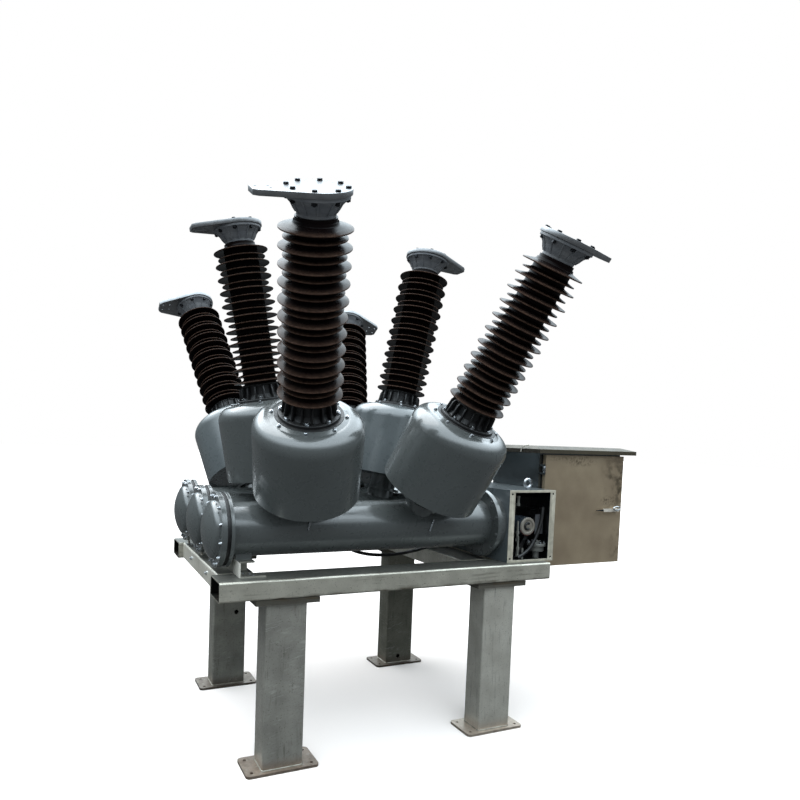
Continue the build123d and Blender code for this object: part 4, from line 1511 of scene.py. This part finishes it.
    def build(self) -> None:
        """Makes all pieces of the tank's bushings."""
        self.porcelains()
        self.base_castings()
        self.top_castings()
        self.terminals()
        self.bolts()


# ---- Tanks ----

@dataclass(frozen=True)
class Tanks:
    """The tanks' own finish and the bolts of their flanges; lengths run from the beams' left end."""

    layout: Layout
    fasteners: Fasteners
    flange_left: float = 22.0
    bolt_circle: float = 174.0
    bolt_count: int = 12
    thread: float = 10.0
    first_bolt: float = 15.0
    right_face: float = 1638.0
    right_circle: float = 190.0
    rim_round: Point2 = (2.6, 2.0)
    gasket: Point2 = (154.0, 184.0)
    rims: tuple[Point2, ...] = ((191.0, 24.0), (191.0, 47.0), (191.0, 71.0), (191.0, 84.0), (204.0, 1640.0))
    gap: Point2 = (48.5, 69.5)

    def build(self) -> None:
        """Dresses the shells and bolts the flanges."""
        for phase in Phase:
            dress(TANK_ENAMEL, f"{phase.label}_tank", f"{phase.label}_tank_cover")
            for side in Side:
                # Painted light: the rear housings take the lit copy of the enamel.
                pale = phase is Phase.REAR or (phase is Phase.MIDDLE and side is Side.RIGHT)
                dress(LIT_ENAMEL if pale else TANK_ENAMEL, f"{phase.label}_{side.label}_housing")
            along = self.layout.tank(phase) @ Matrix.Rotation(math.pi / 2, 4, "Y")
            bolts = (self.bolt_count, self.thread, self.first_bolt, -1)
            self.fasteners.put("cover_bolts", ZINC_PLATE, "bright_metal",
                               seats_round(along, self.bolt_circle, self.flange_left, *bolts))
            self.fasteners.put("right_flange_bolts", TANK_ENAMEL, "tank_paint",
                               seats_round(along, self.right_circle, self.right_face, *bolts), kind=PAINTED_IN)
            thick, sunk = self.rim_round
            rims = [turned("rim", ring_points(thick, 10, (radius - sunk, face)), 96, loop=True)
                    for radius, face in self.rims]
            place_piece(f"{phase.label}_flange_rims", merged("rims", [(rim, along) for rim in rims]),
                        TANK_ENAMEL)
            (inner, outer), (near, far) = self.gasket, self.gap
            outline = [(inner, near, 0), (outer, near, 1.5), (outer, far, 1.5), (inner, far, 0)]
            band = turned("gasket_band", rounded(outline, 3, True), 96, loop=True)
            band.transform(along)
            place_piece(f"{phase.label}_gasket_band", band, RUBBER)


# ---- Frame ----

@dataclass(frozen=True)
class Fittings:
    """Small bright pieces: tie rods under the front housings and eye rings at the feet of two covers."""

    layout: Layout
    eye_radius: float = 15.0
    wire: float = 4.0
    eye_place: Point3 = (62.0, 45.0, 24.0)
    eye_turn: float = 60.0
    foot: Point2 = (9.0, 12.0)
    foot_drop: float = 14.0
    rods: tuple[tuple[Point3, Point3], ...] = (
        ((488.0, -560.0, 263.0), (480.0, -560.0, 222.0)), ((1236.0, -560.0, 262.0), (1212.0, -560.0, 196.0)))
    rod_radius: float = 5.5

    def build(self) -> None:
        """Makes the eye rings and the rods."""
        parts = []
        for step in (0, 1):
            x, y, z = self.eye_place
            centre = self.layout.at(x, y + step * PHASE_SPACING, z)
            ring = turned("eye_ring", ring_points(self.wire, 12, (self.eye_radius, 0)), 40, loop=True)
            upright = Matrix.Rotation(math.radians(self.eye_turn), 4, "Z") @ Matrix.Rotation(math.pi / 2, 4, "X")
            parts.append((ring, Matrix.Translation(centre) @ upright))
            radius, tall = self.foot
            foot = turned("eye_foot", [(0, 0), (radius, 0), (radius, tall), (0, tall)], 20)
            below = Vector((0, 0, -(self.eye_radius + self.foot_drop) * MM))
            parts.append((foot, Matrix.Translation(centre + below)))
        place_piece("cover_eye_rings", merged("cover_eye_rings", parts), LEVER_ZINC)
        rods = [(rod("tie", ends, self.rod_radius, 12), self.layout.beams()) for ends in self.rods]
        place_piece("housing_tie_rods", merged("housing_tie_rods", rods), ZINC_PLATE)


@dataclass(frozen=True)
class SteelFrame:
    """Beams, cross members, legs and saddle, with their welds and bolts.

    Heights run from the beams' top. The weld beads stand a little way off the plates, and their ripple is a step
    along them; the beams get painted shade, near black, inside over the hollow reach, in metres, from their left
    ends.
    """

    layout: Layout
    fasteners: Fasteners
    bead: WeldBead
    leg_left: Point2 = (241.0, 1547.0)
    leg_size: Point2 = (216.0, 146.0)
    leg_centre_y: float = 567.5
    base_top: float = -971.0
    cap_low: float = -128.0
    post_corner: float = 10.0
    bead_radius: float = 4.5
    bead_lift: float = 1.5
    ripple: float = 6.0
    beam_wall: float = 5.0
    hollow_reach: float = 0.3
    end_plate: tuple[Point3, Point3] = ((112.0, -597.0, 2.0), (119.0, -468.0, 74.0))
    foot_bolts: tuple[Point3, ...] = ((152.0, -520.0, 0.0), (180.0, -540.0, 0.0), (190.0, -576.0, 0.0))
    web_bolts: tuple[Point3, ...] = ((28.0, 179.0, -43.0), (28.0, -246.0, -41.0))

    def dress_steel(self) -> None:
        """Zinc finishes."""
        hollows = []
        for node in ("front_beam", "rear_beam"):
            low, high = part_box(node)
            wall = self.beam_wall * MM
            hollows.append(((low.x - 1.0, low.y + wall, BEARING_TOP + wall),
                            (low.x + self.hollow_reach, high.y - wall, high.z - wall)))
        dress(replace(BEAM_ZINC, hollows=tuple(hollows)), "front_beam", "rear_beam")
        dress(MEMBER_ZINC, "cross_members")
        # Painted light and shade: each leg takes a lit or shaded copy of the same zinc.
        dress(LEG_ZINC, "front_left_leg")
        dress(LIT_LEG_ZINC, "front_right_leg")
        dress(SHADED_LEG_ZINC, "rear_left_leg")
        dress(DEEP_SHADED_LEG_ZINC, "rear_right_leg")
        dress(SADDLE_ZINC, "tank_saddle")

    def welds(self) -> None:
        """Beads round the posts at both ends."""
        points: list[Vector] = []
        edges = []
        width, depth = self.leg_size
        corner = self.post_corner
        for left in self.leg_left:
            for row in (-1, 1):
                for height in (self.base_top + self.bead_lift, self.cap_low - self.bead_lift):
                    near, far = row * self.leg_centre_y - depth / 2, row * self.leg_centre_y + depth / 2
                    ring = rounded([(left, near, corner), (left + width, near, corner),
                                    (left + width, far, corner), (left, far, corner)], 3, closed=True)
                    first = len(points)
                    points += [self.layout.at(x, y, height) for x, y in ring]
                    edges += [(first + n, first + (n + 1) % len(ring)) for n in range(len(ring))]
        path = bpy.data.meshes.new("weld_path")
        path.from_pydata(points, edges, [])
        mesh = self.bead.make(path, WELD_METAL, Radius=self.bead_radius * MM, Ripple=self.ripple * MM, Seed=5)
        place_piece("leg_weld_beads", mesh, WELD_METAL, crease=180.0)

    def build(self) -> None:
        """Makes all pieces of the frame."""
        self.dress_steel()
        self.welds()
        end_plate = self.layout.on_beams(bar("saddle_end_plate", *self.end_plate, 2.5))
        # Painted light: the end plate, which sits in shade under the tank, is coloured near white.
        place_piece("saddle_end_plate", end_plate, LIT_PLATE_ZINC)
        self.fasteners.put("saddle_foot_bolts", ZINC_PLATE, "bright_metal", [
            seat for point in self.foot_bolts
            for seat in seats_round(Matrix.Translation(self.layout.at(*point)), 0.0, 0.0, 1, 10)])
        for point in self.web_bolts:
            place = Matrix.Translation(self.layout.at(*point)) @ Matrix.Rotation(-math.pi / 2, 4, "Y")
            self.fasteners.put("web_bolts", ZINC_PLATE, "bright_metal", seats_round(place, 0.0, 0.0, 1, 10))


# ---- Mechanism box ----

@dataclass(frozen=True)
class MechanismBox:
    """The box across the tanks' right ends and what shows in its open front.

    The painted shade, near black inside the box, starts that far in from the walls and from the mouth. The edge
    frame has its width at the sides and at the sills, with holes inset across and up. Arcs are a radius, a first
    angle and a sweep. Outlines are radii and heights.
    """

    layout: Layout
    fasteners: Fasteners
    x: Point2 = (1720.0, 2063.0)
    front: float = -608.0
    height: float = 429.0
    shade_lining: Point2 = (4.5, 2.5)
    edge_frame: Point2 = (40.0, 14.0)
    edge_thickness: float = 1.6
    hole_inset: Point2 = (19.0, 23.0)
    hole_radius: float = 6.0
    motor: Point3 = (1898.0, -560.0, 207.0)
    shield: tuple[Corner, ...] = ((36, 0, 0), (54, 0, 2), (54, 7, 2), (50, 11, 2), (39, 11, 2), (36, 7, 1))
    shield_face: tuple[Point2, ...] = ((0, 0), (37, 0), (37, 4), (0, 4))
    # Painted shade: where the black loop for the slot's shade lies, and how thick it is.
    slot_shade_arc: Point3 = (19.0, 50.0, 260.0)
    slot_shade_wire: float = 8.0
    red_arc: Point3 = (55.0, 205.0, 130.0)
    red_wire: float = 2.6
    union: tuple[Point2, ...] = ((0, 0), (11, 0), (11, 16), (7, 16), (7, 46), (10, 46), (10, 60), (0, 60))
    stem: tuple[Point2, ...] = ((0, 0), (6, 0), (6, 70), (0, 70))
    unions: tuple[Point3, ...] = ((1826.0, -570.0, 24.0), (1828.0, -560.0, 118.0), (1832.0, -550.0, 330.0))
    stems: tuple[Point3, ...] = ((1826.0, -570.0, 80.0), (1828.0, -560.0, 170.0), (1858.0, -575.0, 8.0))
    hose: tuple[Point3, ...] = (
        (1999.0, -574.0, 322.0), (1995.0, -578.0, 290.0), (1988.0, -580.0, 240.0), (1968.0, -580.0, 172.0),
        (1938.0, -580.0, 112.0), (1884.0, -582.0, 50.0), (1816.0, -584.0, 22.0))
    hose_radius: float = 11.0
    panel: tuple[Point3, Point3] = ((1986.0, -530.0, 150.0), (2048.0, -524.0, 272.0))
    valve: Point2 = (1998.0, -534.0)
    valve_outline: tuple[Corner, ...] = (
        (0, 7, 0), (20, 7, 2), (20, 44, 3), (46, 50, 3), (46, 78, 2), (58, 82, 3), (58, 98, 3), (22, 100, 2),
        (22, 114, 3), (0, 114, 0))
    valve_bolts: Point2 = (46.0, 98.0)
    floor_lip: tuple[Point3, Point3] = ((1764.0, -605.0, 5.5), (2019.0, -599.0, 12.5))

    def build(self) -> None:
        """Makes all pieces of the box."""
        # Painted shade: the box is coloured near black inside, from just behind its walls and mouth.
        wall, lip = self.shade_lining
        low = self.layout.at(self.x[0] + wall, self.front + lip, wall)
        high = self.layout.at(self.x[1] - wall, -self.front - lip, self.height - wall)
        shade_lined = replace(BOX_ENAMEL, hollow=(tuple(low), tuple(high)))
        dress(shade_lined, "mechanism_box", "box_rear_cover", "cabinet_mount")
        dress(MECHANISM_BLACK, "carrier_plate")
        dress(MOTOR_BLUE, "charging_motor")
        dress(MECHANISM_BLACK, "drive_arm")
        dress(VALVE_CASTING, "cast_valve")
        dress(ZINC_PLATE, "lifting_eyes")
        self.edges()
        self.motor_end()
        self.fittings()

    def edges(self) -> None:
        """The zinc edge round the open front, with a hole near each corner."""
        (left, right), top = self.x, self.height
        side, sill = self.edge_frame
        near, far = left + side, right - side
        mouth = [(near, sill), (far, sill), (far, top - sill), (near, top - sill)]
        across, up = self.hole_inset
        holes = [ring_points(self.hole_radius, 16, (x, z))
                 for x in (left + across, right - across) for z in (up, top - up)]
        rim = plate("box_edge_frame", [(left, 0), (right, 0), (right, top), (left, top)], [mouth, *holes],
                    self.edge_thickness, 0.4)
        rim.transform(self.layout.beams() @ Matrix.Translation((0, self.front * MM, 0))
                      @ Matrix.Rotation(math.pi / 2, 4, "X"))
        place_piece("box_edge_frame", rim, EDGE_STEEL)

    def motor_end(self) -> None:
        """The motor's end shield: a pale ring and face, with a black open loop on it that paints the shade in
        its slot.
        """
        x, y, z = self.motor
        place = Matrix.Translation(self.layout.at(x, y, z)) @ Matrix.Rotation(math.pi / 2, 4, "X")
        shield = turned("shield", rounded(self.shield, 3, True), 64, loop=True)
        height = self.shield_face[-1][1]
        # Painted shade: a black raised loop stands where the shield's slot lies in shade.
        loop = rod("loop", [(*point, height) for point in arc_points(*self.slot_shade_arc, 16)], self.slot_shade_wire, 12)
        cap = turned("cap", self.shield_face, 48)
        place_piece("motor_end_shield", merged("motor_end_shield", [(shield, place), (cap, place)]),
                    SHIELD_CASTING)
        loop.transform(place)
        place_piece("motor_slot_shade", loop, PLASTIC)
        lip = rod("lip", [(*point, height) for point in arc_points(*self.red_arc, 12)], self.red_wire, 12)
        lip.transform(place)
        place_piece("motor_red_lip", lip, RED_LACQUER)

    def fittings(self) -> None:
        """Pipe unions, the grey side panel and the bright lip of the box's floor."""
        union = turned("union", self.union, 6)
        stem = turned("stem", self.stem, 16)
        unions = [(union, Matrix.Translation(self.layout.at(*point))) for point in self.unions]
        unions += [(stem, Matrix.Translation(self.layout.at(*point))) for point in self.stems]
        place_piece("pipe_unions", merged("pipe_unions", unions), UNION_STEEL, crease=20.0)
        panel = self.layout.on_beams(bar("side_panel", *self.panel, 2.0))
        place_piece("side_panel", panel, TOP_CASTING)
        hose = self.layout.on_beams(rod("hose", self.hose, self.hose_radius, 12))
        place_piece("black_hose", hose, RUBBER)
        x, y = self.valve
        place = Matrix.Translation(self.layout.at(x, y, 0))
        body = turned("valve", rounded(self.valve_outline, 3), 64)
        body.transform(place)
        place_piece("cast_valve_body", body, VALVE_CASTING, replaced=["cast_valve"])
        self.fasteners.put("valve_bolts", ZINC_PLATE, "bright_metal",
                           seats_round(place, *self.valve_bolts, 6, 10, 20))
        lip = self.layout.on_beams(bar("floor_lip", *self.floor_lip, 1.5))
        place_piece("floor_lip", lip, ZINC_PLATE)


# ---- Control cabinet ----

@dataclass(frozen=True)
class Cabinet:
    """The stainless control cabinet and the small metal parts on it; the lever's parts run from its pivot."""

    layout: Layout
    hinge_pin: Point2 = (2078.0, -483.0)
    lever_pivot: Point3 = (2694.0, -516.0, 286.0)
    hinge_heights: Point2 = (60.0, 548.0)
    hook: tuple[Point3, ...] = (
        (2011.0, -338.0, 652.0), (2010.0, -342.0, 668.0), (2011.0, -352.0, 684.0), (2014.0, -372.0, 696.0),
        (2018.0, -398.0, 697.0))
    hook_radius: float = 3.5
    loop_wire: float = 4.0
    shadow_thickness: float = 5.0
    loop_centre: Point3 = (-24.0, -6.0, 12.0)
    loop_size: Point2 = (30.0, 12.0)
    # Painted shadow: the outline and start of a black wedge where the lever's slender shadow shows.
    shadow_outline: tuple[Point2, ...] = ((0, -9), (0, 9), (-92, 2), (-92, -2))
    shadow_start: Point3 = (-96.0, 10.0, 0.0)
    sleeve: tuple[Corner, ...] = ((0, -18, 0), (9.2, -18, 1.5), (9.2, 18, 1.5), (0, 18, 0))

    def build(self) -> None:
        """Makes all pieces of the cabinet."""
        dress(CABINET_SHEET, "cabinet_body")
        dress(ROOF_SHEET, "cabinet_roof")
        dress(CABINET_DOOR, "cabinet_door")
        dress(LEVER_ZINC, "door_handle")
        self.lever()
        hook = self.layout.on_beams(rod("roof_hook", self.hook, self.hook_radius, 12))
        place_piece("roof_hook", hook, LEVER_ZINC)
        x, y = self.hinge_pin
        sleeve = turned("sleeve", rounded(self.sleeve, 3), 24)
        sleeves = [(sleeve, Matrix.Translation(self.layout.at(x, y, height))) for height in self.hinge_heights]
        place_piece("hinge_sleeves", merged("hinge_sleeves", sleeves), ZINC_PLATE)

    def lever(self) -> None:
        """The wire loop, and a black tapered wedge of painted shadow beside the lever, that turn with the
        handle.
        """
        pivot, (wide, tall) = Vector(self.lever_pivot), self.loop_size
        x, y, z = pivot + Vector(self.loop_centre)
        loop = rod("loop", [(x + wide * across, y, z + tall * up) for across, up in ring_points(1.0, 16)],
                   self.loop_wire, 12, closed=True)
        place_piece("lever_loop", self.layout.on_beams(loop), ZINC_PLATE, "handle")
        # Painted shadow: a black tapered wedge where the lever's slender shadow shows.
        shadow_wedge = plate("shadow_wedge", self.shadow_outline, (), self.shadow_thickness, 1.0)
        shadow_wedge.transform(self.layout.beams() @ Matrix.Translation((pivot + Vector(self.shadow_start)) * MM)
                        @ Matrix.Rotation(math.pi / 2, 4, "X"))
        place_piece("lever_shadow", shadow_wedge, MECHANISM_BLACK, "handle")


# ---- Control cable ----

@dataclass(frozen=True)
class ControlCable:
    """The rubber cable from the mechanism box to the front left housing."""

    layout: Layout
    radius: float = 10.0
    length: float = 1.47
    route: tuple[Point3, ...] = (
        (1.690, -0.208, 0.078), (1.560, -0.214, 0.070), (1.425, -0.240, 0.050), (1.280, -0.275, 0.028),
        (1.120, -0.300, 0.017), (0.965, -0.300, 0.024), (0.850, -0.278, 0.056), (0.768, -0.243, 0.120),
        (0.715, -0.216, 0.212), (0.679, -0.222, 0.310), (0.6236, -0.2954, 0.3979), (0.6002, -0.3517, 0.4720),
        (0.5866, -0.3879, 0.5351))

    def build(self) -> None:
        """Lays the cable on one smooth spline."""
        curve = bpy.data.curves.new("control_cable_run", "CURVE")
        curve.dimensions = "3D"
        curve.bevel_depth = self.radius * MM
        curve.bevel_resolution = 4
        curve.use_fill_caps = True
        curve.resolution_u = 16
        spline = curve.splines.new("NURBS")
        spline.points.add(len(self.route) - 1)
        start = self.layout.beams()
        points = [start @ Vector(point) for point in self.route]
        for target, point in zip(spline.points, points):
            target.co = (*point, 1.0)
        spline.order_u = 3
        spline.use_endpoint_u = True
        spline.use_smooth = True
        curve.materials.append(RUBBER.material())
        piece = bpy.data.objects.new("control_cable_run", curve)
        bpy.context.scene.collection.objects.link(piece)
        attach(piece, "base")
        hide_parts("control_cable")
        dress(PLASTIC, "cable_glands")


# ---- Studio ----

@dataclass(frozen=True)
class Studio:
    """Camera, floor, world and lamp.

    Light and gloss are the sky's strengths, which grow over the rises from low on the sky to the zenith. Pale is
    the floor as the camera sees it and dim is how much light it throws back.
    """

    layout: Layout
    camera_point: Point3 = (-675.6, -3524.45, 703.45)
    yaw: float = 23.42493
    pitch: float = -3.09796
    roll: float = 1.91825
    lens: float = 27.9918
    sensor: float = 36.0
    shift: Point2 = (0.083395, 0.088905)
    clip: float = 200.0
    floor_reach: float = 60.0
    sky: Point3 = (0.88, 0.95, 1.0)
    horizon: float = 0.3
    zenith: float = 2.4
    low_gloss: float = 0.14
    zenith_gloss: float = 4.2
    light_rise: Point2 = (0.0, 0.8)
    gloss_rise: Point2 = (0.22, 0.66)
    pale: Point3 = (0.92, 0.885, 0.86)
    dim: float = 0.17
    mirrored_floor: float = 0.05
    sky_gloss: Point3 = (0.8, 0.92, 1.0)
    lamp_way: Point3 = (-0.25, 0.45, 1.0)
    lamp_spread: float = 60.0
    lamp_strength: float = 2.0

    def camera(self) -> None:
        """Stands the camera up and makes it the scene's."""
        yaw, pitch, roll = (math.radians(angle) for angle in (self.yaw, self.pitch, self.roll))
        ahead = Vector((math.sin(yaw) * math.cos(pitch), math.cos(yaw) * math.cos(pitch), math.sin(pitch)))
        right = ahead.cross(Vector((0, 0, 1))).normalized()
        up = right.cross(ahead)
        across = math.cos(roll) * right + math.sin(roll) * up
        above = -math.sin(roll) * right + math.cos(roll) * up
        data = bpy.data.cameras.new("camera")
        data.sensor_width = self.sensor
        data.lens = self.lens
        data.shift_x, data.shift_y = self.shift
        data.clip_end = self.clip
        camera = bpy.data.objects.new("camera", data)
        turn = Matrix((across, above, -ahead)).transposed().to_4x4()
        camera.matrix_world = Matrix.Translation(self.layout.at(*self.camera_point)) @ turn
        bpy.context.scene.collection.objects.link(camera)
        bpy.context.scene.camera = camera

    def floor(self) -> None:
        """A wide pale floor that throws little light back up."""
        mesh = bpy.data.meshes.new("floor")
        far = self.floor_reach
        mesh.from_pydata([(-far, -far, 0), (far, -far, 0), (far, far, 0), (-far, far, 0)], [], [(0, 1, 2, 3)])
        material = bpy.data.materials.new("pale_floor")
        material.use_nodes = True
        tree = material.node_tree
        tree.nodes.clear()
        path = add(tree, "ShaderNodeLightPath").outputs
        seen = add(tree, "ShaderNodeMath", {0: path["Is Camera Ray"], 1: path["Is Transmission Ray"]},
                   operation="MAXIMUM").outputs[0]
        unseen = add(tree, "ShaderNodeMix", {0: path["Is Glossy Ray"], 6: (self.dim,) * 3 + (1,),
                                             7: (self.mirrored_floor,) * 3 + (1,)}, data_type="RGBA").outputs[2]
        tone = add(tree, "ShaderNodeMix", {0: seen, 6: unseen, 7: (*self.pale, 1)}, data_type="RGBA").outputs[2]
        shader = add(tree, "ShaderNodeBsdfDiffuse", {"Color": tone, "Roughness": 1.0})
        add(tree, "ShaderNodeOutputMaterial", {"Surface": shader.outputs[0]})
        mesh.materials.append(material)
        floor = bpy.data.objects.new("floor", mesh)
        bpy.context.scene.collection.objects.link(floor)

    def world(self) -> None:
        """White behind the object; its light comes mostly from above, and reflections are dim below that."""
        world = bpy.data.worlds.new("studio")
        world.use_nodes = True
        tree = world.node_tree
        tree.nodes.clear()
        way = add(tree, "ShaderNodeTexCoord").outputs["Generated"]
        rise = add(tree, "ShaderNodeSeparateXYZ", {0: way}).outputs["Z"]
        light = add(tree, "ShaderNodeMapRange", {
            "Value": rise, "From Min": self.light_rise[0], "From Max": self.light_rise[1],
            "To Min": self.horizon, "To Max": self.zenith}, interpolation_type="SMOOTHSTEP").outputs[0]
        mirrored = add(tree, "ShaderNodeMapRange", {
            "Value": rise, "From Min": self.gloss_rise[0], "From Max": self.gloss_rise[1],
            "To Min": self.low_gloss, "To Max": self.zenith_gloss}, interpolation_type="SMOOTHSTEP").outputs[0]
        path = add(tree, "ShaderNodeLightPath").outputs
        around = add(tree, "ShaderNodeMix", {0: path["Is Glossy Ray"], 2: light, 3: mirrored},
                     data_type="FLOAT").outputs[0]
        seen = add(tree, "ShaderNodeMath", {0: path["Is Camera Ray"], 1: path["Is Transmission Ray"]},
                   operation="MAXIMUM").outputs[0]
        tint = add(tree, "ShaderNodeMix", {0: path["Is Glossy Ray"], 6: (*self.sky, 1), 7: (*self.sky_gloss, 1)},
                   data_type="RGBA").outputs[2]
        sky = add(tree, "ShaderNodeBackground", {"Color": tint, "Strength": around})
        plain = add(tree, "ShaderNodeBackground", {"Color": (1, 1, 1, 1), "Strength": 1.0})
        picked = add(tree, "ShaderNodeMixShader", {0: seen, 1: sky.outputs[0], 2: plain.outputs[0]})
        add(tree, "ShaderNodeOutputWorld", {"Surface": picked.outputs[0]})
        bpy.context.scene.world = world

    def lamp(self, name: str, towards: Point3, spread: float, strength: float) -> None:
        """Hangs one soft lamp far away.

        Args:
            name: The lamp's name.
            towards: The way from the object to it.
            spread: How wide it looks, in degrees.
            strength: Its light on a surface that faces it.
        """
        data = bpy.data.lights.new(name, "SUN")
        data.angle = math.radians(spread)
        data.energy = strength
        lamp = bpy.data.objects.new(name, data)
        lamp.matrix_world = Vector(towards).to_track_quat("Z", "Y").to_matrix().to_4x4()
        bpy.context.scene.collection.objects.link(lamp)

    def build(self) -> None:
        """Sets the studio up."""
        self.camera()
        self.floor()
        self.world()
        self.lamp("overhead_lamp", self.lamp_way, self.lamp_spread, self.lamp_strength)
        bpy.context.scene.view_settings.view_transform = "Standard"


def main() -> None:
    """Builds the studio and every assembly."""
    logging.basicConfig(level=logging.INFO, format="%(name)s: %(message)s")
    layout = Layout()
    fasteners = Fasteners()
    Studio(layout).build()
    ControlCable(layout).build()
    stack, round_axis = Stack(), Round()
    for phase in Phase:
        Bushings(layout, fasteners, stack, round_axis, phase).build()
    Tanks(layout, fasteners).build()
    Fittings(layout).build()
    SteelFrame(layout, fasteners, WeldBead()).build()
    MechanismBox(layout, fasteners).build()
    Cabinet(layout).build()
    fasteners.build()


if __name__ == "__main__":
    main()
